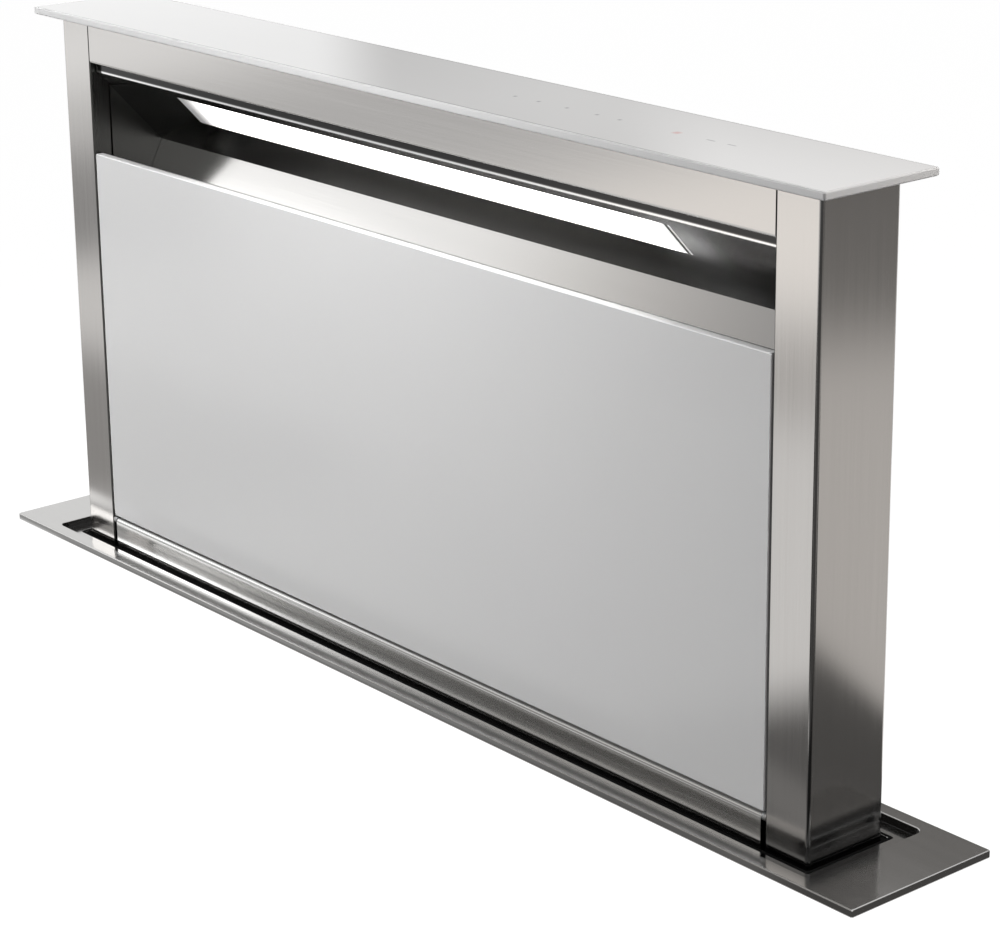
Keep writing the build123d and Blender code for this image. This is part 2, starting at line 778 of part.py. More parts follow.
# ---- Glass front -------------------------------------------------------------------------------------------
def make_front_glass():
    """White glass panel of the front."""
    glass = block((-glass_half, glass_half), (-half_depth, glass_rear), (glass_bottom, glass_top))
    ends = glass.faces().sort_by(Axis.Y)
    return chamfer(ends[0].edges() + ends[-1].edges(), glass_edge)


def make_panel_frame():
    """Steel frame bonded to the back of the glass, with a hinge ear at each lower corner."""
    low = glass_bottom + frame_foot_gap
    high = glass_top - frame_foot_gap
    outer = block((-glass_half, glass_half), (glass_rear, frame_rear), (low, high))
    inner = block((-glass_half + frame_border, glass_half - frame_border), (glass_rear, frame_rear),
                  (low + frame_border, high - frame_border))
    ear = rod_x(ear_radius, glass_half - ear_width, glass_half, hinge_y, hinge_z)
    arm = block((glass_half - ear_width, glass_half), (glass_rear + joint_gap, frame_rear),
                (hinge_z - ear_radius, low + frame_border))
    web = block((glass_half - ear_width, glass_half), (hinge_y, frame_rear),
                (hinge_z - ear_radius, hinge_z + ear_radius))
    bore = rod_x(hinge_pin_radius + running_gap, glass_half - 2 * ear_width, column_inner, hinge_y, hinge_z)
    return outer - inner + both(ear + arm + web - bore)


def make_hinge_pins():
    """Stepped pins on the columns that carry the glass panel."""
    pin = rod_x(hinge_pin_radius, glass_half - ear_width, column_inner, hinge_y, hinge_z)
    collar = rod_x(ear_radius, glass_half + joint_gap, column_inner, hinge_y, hinge_z)
    return both(pin + collar)


def make_magnets():
    """Magnets on the liners that hold the closed panel."""
    width, depth, height = magnet_size
    return both(block((liner_face - width, liner_face), (frame_rear + joint_gap, frame_rear + joint_gap + depth),
                      (glass_top - magnet_drop, glass_top - magnet_drop + height)))


# ---- Blower -------------------------------------------------------------------------------------------------
def volute_outline(offset, duct_end):
    """Spiral that grows from the tongue round to the duct, in X and Z about the fan."""
    start = degrees(asin((tongue_z - offset) / (volute_radius + offset)))
    skipped = tongue_angle - start
    points = []
    for step in range(13):
        swept = skipped + (volute_sweep - skipped) * step / 12
        radius = volute_radius + offset + volute_growth * swept / volute_sweep
        angle = radians(tongue_angle - swept)
        points.append((radius * cos(angle), radius * sin(angle)))
    first, last = points[0], points[-1]
    duct = Polyline(last, (duct_end, last[1]), (duct_end, first[1]), first)
    return Pos(fan_x, fan_z) * make_face(Curve() + [Spline(*points), duct])


def make_volute():
    """Snail housing of the fan: a spiral wall, two end plates and the flanged inlet ring."""
    outer = volute_outline(volute_wall, volute_duct)
    inner = volute_outline(0, volute_duct + volute_wall)
    wall = along_y(outer - inner, volute_front, volute_back)
    rear = along_y(outer, volute_back - volute_wall, volute_back)
    front = along_y(outer, volute_front, volute_front + volute_wall)
    mouth = housing_front_y + housing_sheet
    ring = rod_y(inlet_radius + volute_wall, volute_back - volute_wall, mouth, fan_x, fan_z)
    flange_y = housing_front_y - box_sheet
    flange = block((inlet_x[0] - inlet_flange, inlet_x[1] + inlet_flange), (flange_y - volute_wall, flange_y),
                   (inlet_z[0] - inlet_flange, inlet_z[1] + inlet_flange))
    eye = rod_y(inlet_radius, volute_back - 2 * volute_wall, mouth, fan_x, fan_z)
    motor_hole = rod_y(fan_hub_radius, volute_front, volute_front + 2 * volute_wall, fan_x, fan_z)
    return wall + rear + front + ring + flange - eye - motor_hole


def make_impeller():
    """Forward-curved fan wheel: blades between a disc and a ring, with a hub."""
    inner = fan_radius - blade_depth
    near, far = inner + blade_inset, fan_radius - blade_inset
    middle = (near + far) / 2
    front = ThreePointArc((near, 0), (middle, blade_lean / 2), (far, 2 * blade_lean))
    rear = ThreePointArc((near, blade_thickness), (middle, blade_lean / 2 + blade_thickness),
                         (far, 2 * blade_lean + blade_thickness))
    edges = [Line(front @ 0, rear @ 0), Line(front @ 1, rear @ 1)]
    foot = Plane.XY.offset(fan_disc / 2)
    blade = extrude(foot * make_face(Curve() + [front, rear] + edges), fan_length - fan_ring / 2 - fan_disc / 2)
    wheel = Cylinder(fan_radius, fan_disc, align=FROM_BASE)
    wheel += Cylinder(fan_hub_radius - joint_gap, fan_hub_length, align=FROM_BASE)
    ring = Cylinder(fan_radius, fan_ring, align=FROM_BASE)
    ring -= Cylinder(inner, fan_ring, align=FROM_BASE)
    wheel += Pos(0, 0, fan_length - fan_ring) * ring
    wheel += PolarLocations(0, blade_count) * blade
    wheel -= Cylinder(fan_shaft_radius + running_gap / 2, fan_length, align=FROM_BASE)
    return Pos(fan_x, fan_front, fan_z) * Rot(-90, 0, 0) * wheel


def make_fan_shaft():
    """Shaft from the motor into the hub."""
    return rod_y(fan_shaft_radius, volute_front - fan_shaft_in_motor, fan_front + fan_hub_length, fan_x, fan_z)


def make_fan_motor():
    """Motor on the front plate of the snail."""
    can = rod_y(motor_radius, volute_front - motor_length, volute_front, fan_x, fan_z)
    can = fillet(can.faces().sort_by(Axis.Y)[0].edges(), 4 * running_gap + volute_wall)
    depth = fan_shaft_in_motor + 1
    return can - rod_y(fan_shaft_radius + running_gap, volute_front - depth, volute_front, fan_x, fan_z)


lid_screw_spots = [
    (box_x[0] + box_post / 2 + box_sheet, box_z[0] + box_post / 2 + box_sheet),
    (box_x[1] - box_post / 2 - box_sheet, box_z[0] + box_post / 2 + box_sheet),
    (box_x[0] + box_post / 2 + box_sheet, box_z[1] - box_post / 2 - box_sheet),
    (box_x[1] - box_post / 2 - box_sheet, box_z[1] - box_post / 2 - box_sheet),
]


def make_blower_box():
    """Sheet box round the snail, open at the front, with the inlet and the outlet."""
    t = box_sheet
    outer = block(box_x, (box_front + t, housing_front_y), box_z)
    inner = block((box_x[0] + t, box_x[1] - t), (box_front, housing_front_y - t), (box_z[0] + t, box_z[1] - t))
    posts = [block((x - box_post / 2, x + box_post / 2), (box_front + t, housing_front_y - t),
                   (z - box_post / 2, z + box_post / 2)) for x, z in lid_screw_spots]
    inlet = block(inlet_x, (housing_front_y - 2 * t, housing_front_y + t), inlet_z)
    outlet = rod_x(outlet_radius - outlet_wall, box_x[1] - 2 * t, box_x[1] + t, outlet_y, outlet_z)
    box = outer - inner + posts - inlet - outlet
    return box - front_holes(lid_screw_spots, box_front)


def make_blower_lid():
    """Front sheet of the blower box."""
    lid = block(box_x, (box_front, box_front + box_sheet), box_z)
    return lid - front_holes(lid_screw_spots, box_front)


def make_outlet_collar():
    """Round collar for the duct, with the bar that carries the flaps."""
    x = box_x[1]
    plate = rod_x(outlet_radius + outlet_flange, x, x + outlet_wall, outlet_y, outlet_z)
    tube = rod_x(outlet_radius, x, x + outlet_length, outlet_y, outlet_z)
    bore = rod_x(outlet_radius - outlet_wall, x, x + outlet_length, outlet_y, outlet_z)
    bar_x = x + flap_x
    reach = outlet_radius - outlet_wall / 2
    bar = block((bar_x - flap_bar[0] / 2, bar_x + flap_bar[0] / 2),
                (outlet_y - flap_bar[1] / 2, outlet_y + flap_bar[1] / 2), (outlet_z - reach, outlet_z + reach))
    collar = plate + tube - bore + bar
    for side in (-1, 1):
        collar -= rod_z(flap_pin_radius, outlet_z - outlet_radius, outlet_z + outlet_radius,
                        bar_x, outlet_y + side * flap_offset)
    return collar


def make_flap_pins():
    """Upright pins through the collar's wall."""
    reach = outlet_radius - outlet_wall / 2
    return [rod_z(flap_pin_radius, outlet_z - reach, outlet_z + reach, box_x[1] + flap_x,
                  outlet_y + side * flap_offset) for side in (-1, 1)]


def make_flap(side):
    """Half-round flap that turns about its pin."""
    x = box_x[1] + flap_x
    pin_y = outlet_y + side * flap_offset
    disc = rod_x(outlet_radius - outlet_wall - flap_gap, x - flap_thickness / 2, x + flap_thickness / 2,
                 outlet_y, outlet_z)
    reach = sorted((pin_y, outlet_y + side * outlet_radius))
    half = disc & block((x - flap_thickness, x + flap_thickness), tuple(reach),
                        (outlet_z - outlet_radius, outlet_z + outlet_radius))
    knuckle = rod_z(flap_knuckle, outlet_z - knuckle_half_height, outlet_z + knuckle_half_height, x, pin_y)
    pin = rod_z(flap_pin_radius + running_gap, outlet_z - outlet_radius, outlet_z + outlet_radius, x, pin_y)
    return half + knuckle - pin


# ---- Electrics, feet and fasteners --------------------------------------------------------------------------
control_screw_spots = [
    (x, z)
    for x in (control_x[0] + control_wall + control_post / 2, control_x[1] - control_wall - control_post / 2)
    for z in (control_z[0] + control_wall + control_post / 2, control_z[1] - control_wall - control_post / 2)
]
control_front = housing_front_y - control_depth
gland_x = (control_x[0] + control_x[1]) / 2
gland_y = housing_front_y - control_depth / 2


def make_control_box():
    """Plastic tub for the electronics, on the housing's front."""
    w = control_wall
    outer = block(control_x, (control_front, housing_front_y), control_z)
    inner = block((control_x[0] + w, control_x[1] - w), (control_front, housing_front_y - w),
                  (control_z[0] + w, control_z[1] - w))
    posts = [block((x - control_post / 2, x + control_post / 2), (control_front, housing_front_y - w),
                   (z - control_post / 2, z + control_post / 2)) for x, z in control_screw_spots]
    hole = rod_z(gland_radius / 1.5 + running_gap, control_z[0] - w, control_z[0] + 2 * w, gland_x, gland_y)
    return outer - inner + posts - hole - front_holes(control_screw_spots, control_front - w)


def make_control_lid():
    """Lid of the control box."""
    lid = block(control_x, (control_front - control_wall, control_front), control_z)
    lid = fillet(lid.edges().filter_by(Axis.Y), control_wall)
    return lid - front_holes(control_screw_spots, control_front - control_wall)


def make_control_board():
    """Circuit board with its larger parts, on the floor of the tub."""
    back = housing_front_y - control_wall
    low, high = control_z[0] + 2 * control_post, control_z[1] - 2 * control_post
    left, right = control_x[0] + 2 * control_post, control_x[1] - 2 * control_post
    board = block((left, right), (back - 2 * board_thickness, back), (low, high))
    part_depth = control_depth / 2
    for share, height in ((0.15, 0.5), (0.45, 0.7), (0.75, 0.4)):
        x = left + (right - left) * share
        board += block((x, x + 2.5 * control_post), (back - part_depth, back - board_thickness),
                       (low + control_post, low + (high - low) * height))
    return board


def make_gland():
    """Inlet gland for the mains lead, in the tub's underside."""
    low = control_z[0] - gland_length * 0.7
    body = rod_z(gland_radius / 1.5, low, control_z[0] + gland_length * 0.3, gland_x, gland_y)
    nut = extrude(Plane.XY.offset(control_z[0] - gland_length * 0.3) * (Pos(gland_x, gland_y)
                  * RegularPolygon(gland_radius, 6)), gland_length * 0.3)
    dome = extrude(Plane.XY.offset(low) * (Pos(gland_x, gland_y) * RegularPolygon(gland_radius, 6)),
                   gland_length * 0.3)
    return body + nut + dome - rod_z(gland_bore, low, control_z[0] + gland_length, gland_x, gland_y)


def make_feet():
    """Brackets that stand the housing on the cabinet's floor; their slots set the height."""
    leg = block((housing_half, housing_half + foot_sheet), (-foot_width / 2, foot_width / 2),
                (foot_bottom, foot_bottom + foot_leg))
    foot = block((housing_half, housing_half + foot_reach), (-foot_width / 2, foot_width / 2),
                 (foot_bottom, foot_bottom + foot_sheet))
    bracket = leg + foot
    for y in (-foot_hole_spacing / 2, foot_hole_spacing / 2):
        bracket -= rod_z(foot_hole_radius, foot_bottom, foot_bottom + foot_sheet, housing_half + foot_hole_x, y)
    slot = SlotOverall(foot_slot_length, 2 * screw_radius * bolt_scale + 2 * joint_gap, rotation=90)
    for y in (-foot_bolt_y, foot_bolt_y):
        bracket -= along_x(Pos(y, foot_bolt_z) * slot, housing_half, housing_half + foot_sheet)
    return both(bracket)


def make_foot_bolts():
    """Bolts through the brackets' slots into the housing's sides."""
    bolts = []
    for side, y in foot_bolt_spots:
        face = housing_half + foot_sheet
        shank = rod_x(screw_radius * bolt_scale, face - screw_length, face, y, foot_bolt_z)
        head = rod_x(screw_head_radius * bolt_scale, face, face + screw_head_height * bolt_scale,
                     y, foot_bolt_z)
        bolt = shank + head
        bolts.append(bolt if side > 0 else mirror(bolt, Plane.YZ))
    return bolts


# ---- Write every node -----------------------------------------------------------------------------------------
os.makedirs("parts", exist_ok=True)
save("worktop_flange", make_flange())
save("worktop_gasket", make_gasket())
save("slot_seal", make_seal())
save("housing_back", make_housing_back())
save("housing_front", make_housing_front())
save("housing_pan", make_housing_pan())
save("guide_rails", *make_guide_rails())
save("top_pads", *make_pads())
save("lift_belts", *make_belts())
save("idler_axles", *make_idler_axles())
idlers = both(make_pulley(idler_pin_radius + running_gap, idler_z))
save("idler_right", idlers[0])
save("idler_left", idlers[1])
save("drive_shaft", make_drive_shaft())
save("drive_pulleys", *both(make_pulley(shaft_radius + running_gap / 2, shaft_z)))
save("shaft_bearings", *make_shaft_bearings())
save("lift_gearmotor", make_gearmotor())
save("gearmotor_bracket", make_gearmotor_bracket())
save("belt_clamps", *make_belt_clamps())
save("glide_shoes", *make_shoes())

columns = both(make_column())
save("column_right", columns[0])
save("column_left", columns[1])
save("rear_panel", make_rear_panel())
save("fascia", make_fascia())
save("lower_rail", make_lower_rail())
save("filter_ledge", make_filter_ledge())
save("tower_crossbar", make_crossbar())
save("side_liners", *make_side_liners())
save("soffit", make_soffit())
save("rear_baffle", make_baffle())
save("led_lens", make_lens())
save("led_channel", make_led_channel())
save("led_board", make_led_board())
save("cap_glass", make_cap_glass())
save("cap_tray", make_cap_tray())
save("touch_board", make_touch_board())
save("grease_filter_left", make_filter(True))
save("grease_filter_right", make_filter(False))

save("front_glass", make_front_glass())
save("panel_frame", make_panel_frame())
save("hinge_pins", *make_hinge_pins())
save("latch_magnets", *make_magnets())

save("volute", make_volute())
save("impeller", make_impeller())
save("fan_shaft", make_fan_shaft())
save("fan_motor", make_fan_motor())
save("blower_box", make_blower_box())
save("blower_lid", make_blower_lid())
save("outlet_collar", make_outlet_collar())
save("flap_pins", *make_flap_pins())
save("flap_front", make_flap(-1))
save("flap_rear", make_flap(1))

save("control_box", make_control_box())
save("control_lid", make_control_lid())
save("control_board", make_control_board())
save("mains_gland", make_gland())
save("foot_brackets", *make_feet())
save("foot_bolts", *make_foot_bolts())
save("housing_screws", *front_screws(front_screw_spots, housing_front_y))
save("lid_screws", *front_screws(lid_screw_spots, box_front),
     *front_screws(control_screw_spots, control_front - control_wall))
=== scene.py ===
# %% [markdown]
# # A downdraft vent in Blender
# The vent is a tower of brushed steel and white glass that rises out of a flange in a worktop. Its
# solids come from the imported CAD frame. This lesson adds the surfaces that the eye sees: folded steel
# with real bends, ground glass, and a finish for every part below the worktop.

# %% Load the frame
from functools import reduce
from math import cos, pi, radians, sin

import bpy
import numpy as np
from mathutils import Matrix, Vector


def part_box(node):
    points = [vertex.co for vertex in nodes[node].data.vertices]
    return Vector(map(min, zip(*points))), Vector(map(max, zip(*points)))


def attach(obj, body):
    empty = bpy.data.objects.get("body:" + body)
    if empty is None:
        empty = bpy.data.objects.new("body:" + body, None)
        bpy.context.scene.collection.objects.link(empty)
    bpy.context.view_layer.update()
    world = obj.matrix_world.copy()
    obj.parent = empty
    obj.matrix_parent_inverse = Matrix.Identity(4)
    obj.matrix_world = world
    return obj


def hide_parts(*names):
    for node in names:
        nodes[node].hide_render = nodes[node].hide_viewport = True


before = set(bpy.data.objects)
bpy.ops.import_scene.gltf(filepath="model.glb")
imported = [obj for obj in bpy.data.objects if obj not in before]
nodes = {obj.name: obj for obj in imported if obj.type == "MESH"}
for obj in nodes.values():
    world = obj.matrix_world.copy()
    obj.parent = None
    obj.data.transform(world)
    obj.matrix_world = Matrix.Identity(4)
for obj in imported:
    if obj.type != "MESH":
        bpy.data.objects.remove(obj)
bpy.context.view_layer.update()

# %% [markdown]
# ## Camera
# The view is from the front right and a little above. A long lens keeps the far end from shrinking
# too much. The direction is built from an azimuth, a pitch and a small roll, as a photographer would
# set a tripod head, and a small vertical shift frames the tower.

# %% Camera
camera_azimuth, camera_pitch, camera_roll = radians(50.258), radians(17.417), radians(-0.654)
camera_distance = 1.9246
aim = (0, 0, 0.205)
aim_right, aim_up = 0.0464, -0.02207

tripod_head = (Matrix.Rotation(camera_azimuth, 4, "Z") @ Matrix.Rotation(pi / 2 - camera_pitch, 4, "X")
               @ Matrix.Rotation(camera_roll, 4, "Z"))
camera = bpy.data.objects.new("camera", bpy.data.cameras.new("camera"))
camera.data.lens = 106.2
camera.data.sensor_width = 36
camera.data.shift_y = -0.06
stand = Matrix.Translation((aim_right, aim_up, camera_distance))
camera.matrix_world = Matrix.Translation(aim) @ tripod_head @ stand
scene = bpy.context.scene
scene.collection.objects.link(camera)
scene.camera = camera
scene.view_settings.view_transform = "Standard"
print("the camera stands at", tuple(round(v, 3) for v in camera.matrix_world.translation))

# %% [markdown]
# ## Surfaces from numpy
# Each new piece is a grid of points: one parameter runs round a closed outline, the other carries
# that outline along a path. The helpers turn such a grid into a mesh with outward faces, smooth bends
# and flat faces that stay flat.

# %% Mesh helpers
mm = 0.001


def signed_volume(points, blocks):
    """Sum of the tetrahedra from the origin to each triangle: positive when faces point outwards. A
    block holds faces with the same number of corners, and each is cut into a fan of triangles."""
    fans = [block[:, [0, k, k + 1]] for block in blocks for k in range(1, block.shape[1] - 1)]
    a, b, c = points[np.concatenate(fans)].transpose(1, 0, 2)
    return np.einsum("ij,ij->", np.cross(a, b), c) / 6


def grid_faces(rows, columns, wrap_rows, wrap_columns):
    """Quads between neighbours of a grid: (i, j), (i+1, j), (i+1, j+1), (i, j+1)."""
    i, j = np.meshgrid(np.arange(rows if wrap_rows else rows - 1),
                       np.arange(columns if wrap_columns else columns - 1), indexing="ij")
    i, j = i.ravel(), j.ravel()
    k, m = (i + 1) % rows, (j + 1) % columns
    return np.stack([i * columns + j, k * columns + j, k * columns + m, i * columns + m], 1)


def finish_mesh(name, points, faces, sharp):
    """Object with smooth shading, creases above an angle, and flat faces that stay flat."""
    mesh = bpy.data.meshes.new(name)
    mesh.from_pydata(points, [], faces)
    mesh.polygons.foreach_set("use_smooth", np.ones(len(mesh.polygons), bool))
    mesh.set_sharp_from_angle(angle=radians(sharp))
    piece = bpy.data.objects.new(name, mesh)
    scene.collection.objects.link(piece)
    weighted = piece.modifiers.new("flat_faces", "WEIGHTED_NORMAL")
    weighted.keep_sharp = True
    weighted.weight = 100
    print(name, "has", len(mesh.vertices), "points")
    return piece


def make_piece(name, parts, sharp=35.0):
    """One mesh from several closed grids. Each part is (points of shape rows x columns x 3, wrap_rows);
    columns always close, and a part that doesn't wrap its rows gets a flat cap at each end."""
    all_points, quads, caps, offset = [], [], [], 0
    for grid, wrap_rows in parts:
        rows, columns = grid.shape[:2]
        points = grid.reshape(-1, 3)
        faces = grid_faces(rows, columns, wrap_rows, True)
        ends = [] if wrap_rows else [np.arange(columns)[::-1], np.arange(columns) + (rows - 1) * columns]
        if signed_volume(points, [faces] + [e[None] for e in ends]) < 0:
            faces, ends = faces[:, ::-1], [e[::-1] for e in ends]
        all_points.append(points)
        quads.append(faces + offset)
        caps += [(e + offset).tolist() for e in ends]
        offset += len(points)
    return finish_mesh(name, np.concatenate(all_points), np.concatenate(quads).tolist() + caps, sharp)


# %% Rounded outlines
def unit(vectors):
    return vectors / np.linalg.norm(vectors, axis=-1, keepdims=True)


def rounded_outline(corners, radii, steps=6):
    """A closed outline with an arc at each corner: the arc of radius r touches both sides at
    r / tan(half the corner's angle) from the corner."""
    corners = np.asarray(corners, float)
    radii = np.broadcast_to(radii, len(corners))[:, None]
    before, after = [unit(np.roll(corners, shift, 0) - corners) for shift in (1, -1)]
    half = np.arccos(np.clip((before * after).sum(1, keepdims=True), -1, 1)) / 2
    centre = corners + unit(before + after) * (radii / np.sin(half))
    reach = radii / np.tan(half)
    start, end = corners + before * reach - centre, corners + after * reach - centre
    share = np.linspace(0, 1, steps)[:, None]
    chord = start[:, None] * (1 - share) + end[:, None] * share
    return (centre[:, None] + unit(chord) * radii[:, None]).reshape(-1, 2)


def ring_at(half_x, half_y, radius, z):
    """A level rectangle with round corners, as one loop of points."""
    loop = rounded_outline([(half_x, -half_y), (half_x, half_y), (-half_x, half_y), (-half_x, -half_y)],
                           radius, steps=7)
    return np.column_stack([loop, np.full(len(loop), z)])


def stacked_rings(section):
    """Concentric rings from a section: each entry is (half_x, half_y, corner radius, z)."""
    return np.stack([ring_at(*entry) for entry in section]) * mm


# %% [markdown]
# ## Flange
# The flange is one pressed sheet: a flat rim, a sunk recess for the cap, and the slot for the tower.
# A section that is carried round a rectangle with round corners gives all of it in one closed grid,
# with its pressed edges as small arcs.

# %% Flange
rim, recess, slot_opening = (440.0, 57.5), (397.0, 47.0), (383.0, 34.0)
rim_top, rim_foot, recess_floor, tray_bottom = 5.0, 0.3, -0.5, -2.0
rim_corner, recess_corner, slot_corner = 1.2, 5.0, 3.0
sheet = 1.5


def arc_steps(radius, start, end, count=5):
    """(sideways, upwards) offsets along an arc between two angles in degrees."""
    turn = np.radians(np.linspace(start, end, count))
    return radius * np.column_stack([np.cos(turn), np.sin(turn)])


def flange_section():
    """Closed section of the flange, from the rim's foot over its top into the recess and back."""
    (rim_x, rim_y), (recess_x, recess_y), (slot_x, slot_y) = rim, recess, slot_opening
    bend, floor_bend, burr, inner_corner = 0.9, 0.8, 0.3, 0.8
    rings = [(rim_x, rim_y, rim_corner, rim_foot)]
    for out, up in arc_steps(bend, 0, 90):
        rings.append((rim_x - bend + out, rim_y - bend + out, rim_corner, rim_top - bend + up))
    for out, up in arc_steps(bend, 90, 180):
        reach = bend + out
        rings.append((recess_x + reach, recess_y + reach, recess_corner + reach, rim_top - bend + up))
    for out, up in arc_steps(floor_bend, 0, -90):
        reach = out - floor_bend
        rings.append((recess_x + reach, recess_y + reach, recess_corner + reach,
                      recess_floor + floor_bend + up))
    rings += [(slot_x + burr, slot_y + burr, slot_corner + burr, recess_floor),
              (slot_x, slot_y, slot_corner, recess_floor - burr), (slot_x, slot_y, slot_corner, tray_bottom)]
    rings += [(recess_x + sheet, recess_y + sheet, recess_corner + sheet, z)
              for z in (tray_bottom, rim_top - sheet)]
    rings += [(rim_x - sheet, rim_y - sheet, inner_corner, z) for z in (rim_top - sheet, rim_foot)]
    return stacked_rings(rings)


flange = make_piece("flange_sheet", [(flange_section(), True)])
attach(flange, "base")
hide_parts("worktop_flange")

# %% Seal lip
lip_width, lip_rise, lip_corner = 2.0, 0.38, 1.5
lip_section = [(-0.1, 0.05), (0.1, lip_rise), (lip_width - 0.3, lip_rise), (lip_width, 0.05)]
lip_rings = [(slot_opening[0] + out, slot_opening[1] + out, lip_corner, recess_floor + up)
             for out, up in lip_section]
seal_lip = make_piece("slot_seal_lip", [(stacked_rings(lip_rings), True)])
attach(seal_lip, "base")

# %% [markdown]
# ## Posts
# Each post is a folded channel: a broad face in front, the side, the rear, and two narrow lips on the
# inner side. The plan is an open line with a real bend radius at each fold; the sheet's thickness
# follows it. It is carried from the foot below the worktop to the cap.

# %% Folded sheets
def folded_outline(line, thickness, outer_radii, steps=6):
    """Outline of a folded sheet: the outer line with arcs at its folds, and the same line one
    thickness to its left, whose arcs share their centres."""
    line = np.asarray(line, float)
    run = unit(np.diff(line, axis=0))
    normal = np.stack([-run[:, 1], run[:, 0]], 1)
    first, last = np.concatenate([normal[:1], normal]), np.concatenate([normal, normal[-1:]])
    share = thickness / (1 + (first * last).sum(1))
    inner = line + (first + last) * share[:, None]
    turn = np.sign((normal[:-1] * run[1:]).sum(1))
    inner_radii = np.maximum(outer_radii - turn * thickness, 0.1)
    edge = [0.12 * thickness]
    radii = np.concatenate([edge, outer_radii, edge, edge, inner_radii[::-1], edge])
    return rounded_outline(np.concatenate([line, inner[::-1]]), radii, steps)


def along_z(outline, low, high):
    """Carries an X-Y outline from one Z to another."""
    grid = np.empty((2, len(outline), 3))
    grid[..., :2] = outline[None]
    grid[..., 2] = np.array([low, high])[:, None]
    return grid * mm, False


def mirrored(part):
    """The same grid on the other side of the tower."""
    grid, wrap = part
    return grid * np.array([-1, 1, 1]), wrap


# %% Posts
half_width, half_depth, post_inner, post_lip = 380.0, 31.0, 345.5, 16.0
tower_low, tower_high = -110.0, 396.0
tower_sheet, lip_bend, corner_bend = 1.2, 1.0, 2.5
post_line = [(post_inner, -post_lip), (post_inner, -half_depth), (half_width, -half_depth),
             (half_width, half_depth), (post_inner, half_depth), (post_inner, post_lip)]
post_plan = folded_outline(post_line, tower_sheet, [lip_bend, corner_bend, corner_bend, lip_bend])
right_post = along_z(post_plan, tower_low, tower_high)
posts = []
for side, part in (("right", right_post), ("left", mirrored(right_post))):
    post = make_piece("post_" + side, [part])
    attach(post, "tower")
    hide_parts("column_" + side)
    posts.append(post)

# %% [markdown]
# ## Fascia and lower rail
# Both are long folded profiles, so both are an outline in Y and Z carried along X. The fascia's lower
# edge rolls inwards over the suction slot; the rail below the glass has a round nose.

# %% Fascia and rail
def along_x(outline, low, high):
    """Carries a Y-Z outline from one X to another."""
    grid = np.empty((2, len(outline), 3))
    grid[..., 0] = np.array([low, high])[:, None]
    grid[..., 1:] = outline[None]
    return grid * mm, False


fascia_end, fascia_foot, fascia_roll, fascia_bend = 345.2, 364.5, -26.3, 2.2
fascia_line = [(-half_depth, tower_high), (-half_depth, fascia_foot), (fascia_roll, fascia_foot)]
fascia_outline = folded_outline(fascia_line, tower_sheet, [fascia_bend])
fascia = make_piece("fascia_beam", [along_x(fascia_outline, -fascia_end, fascia_end)])
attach(fascia, "tower")
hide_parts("fascia")

rail_end, rail_top, rail_back, rail_hem, nose_bend = 341.6, 20.8, -23.0, 4.8, 3.7
rail_line = [(rail_back, rail_hem), (rail_back, rail_top), (-half_depth, rail_top), (-half_depth, tower_low)]
rail_outline = folded_outline(rail_line, tower_sheet, [nose_bend, nose_bend], steps=9)
rail = make_piece("rail_under_glass", [along_x(rail_outline, -rail_end, rail_end)])
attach(rail, "tower")
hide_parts("lower_rail")

# %% [markdown]
# ## Glass
# The cap and the front are plates of white glass with ground edges. A plate is a stack of rings: the
# chamfer is a ring drawn in and up, and a hair of rounding each side of it catches the light.

# %% Glass plates
def plate_rings(half_a, half_b, low, high, chamfer, corner):
    """Rings of a plate from its lower face to its upper face, chamfered at both."""
    c, r = chamfer, chamfer * 0.25
    steps = [(c + r, 0), (c - r * 0.3, r * 0.3), (r * 0.3, c - r * 0.3), (0, c + r)]
    lower = [(half_a - i, half_b - i, corner, low + u) for i, u in steps]
    upper = [(half_a - i, half_b - i, corner, high - u) for i, u in reversed(steps)]
    return stacked_rings(lower + upper)


cap_x, cap_y, cap_top = 395.0, 45.0, 401.0
cap = make_piece("cap_plate", [(plate_rings(cap_x, cap_y, tower_high, cap_top, 0.8, 1.6), False)], sharp=20)
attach(cap, "tower")
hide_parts("cap_glass")

glass_x, glass_low, glass_high, glass_thickness = 344.0, 22.3, 299.0, 6.0
glass_grid = plate_rings(glass_x, (glass_high - glass_low) / 2, -glass_thickness, 0.0, 0.6, 1.4)
glass_middle = np.array([0.0, -half_depth, (glass_low + glass_high) / 2]) * mm
glass_grid = glass_grid[..., [0, 2, 1]] * np.array([1, -1, 1]) + glass_middle
front = make_piece("glass_front", [(glass_grid, False)], sharp=20)
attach(front, "panel")
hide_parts("front_glass")

# %% [markdown]
# ## Pressed housing
# A large sheet would drum and bend, so its maker presses shallow fields into it. The height of a field
# depends on the distance to a rounded rectangle: nothing outside, a smooth slope at its border, and a
# level top. The grid's lines are close together only where the slopes are.

# %% Pressed fields
def smooth_step(share):
    """Rises from 0 to 1 and is level at both ends."""
    return share * share * (3 - 2 * share)


def field_height(u, v, field):
    """Smooth step of the signed distance to a rounded rectangle. A field is its centre (u, v), its half
    size (u, v), its corner radius, its depth and the width of its slope."""
    centre_u, centre_v, half_u, half_v, corner, depth, slope = field
    a, b = np.abs(u - centre_u) - half_u + corner, np.abs(v - centre_v) - half_v + corner
    distance = np.hypot(np.maximum(a, 0), np.maximum(b, 0)) + np.minimum(np.maximum(a, b), 0) - corner
    return depth * smooth_step(np.clip(-distance / slope, 0, 1))


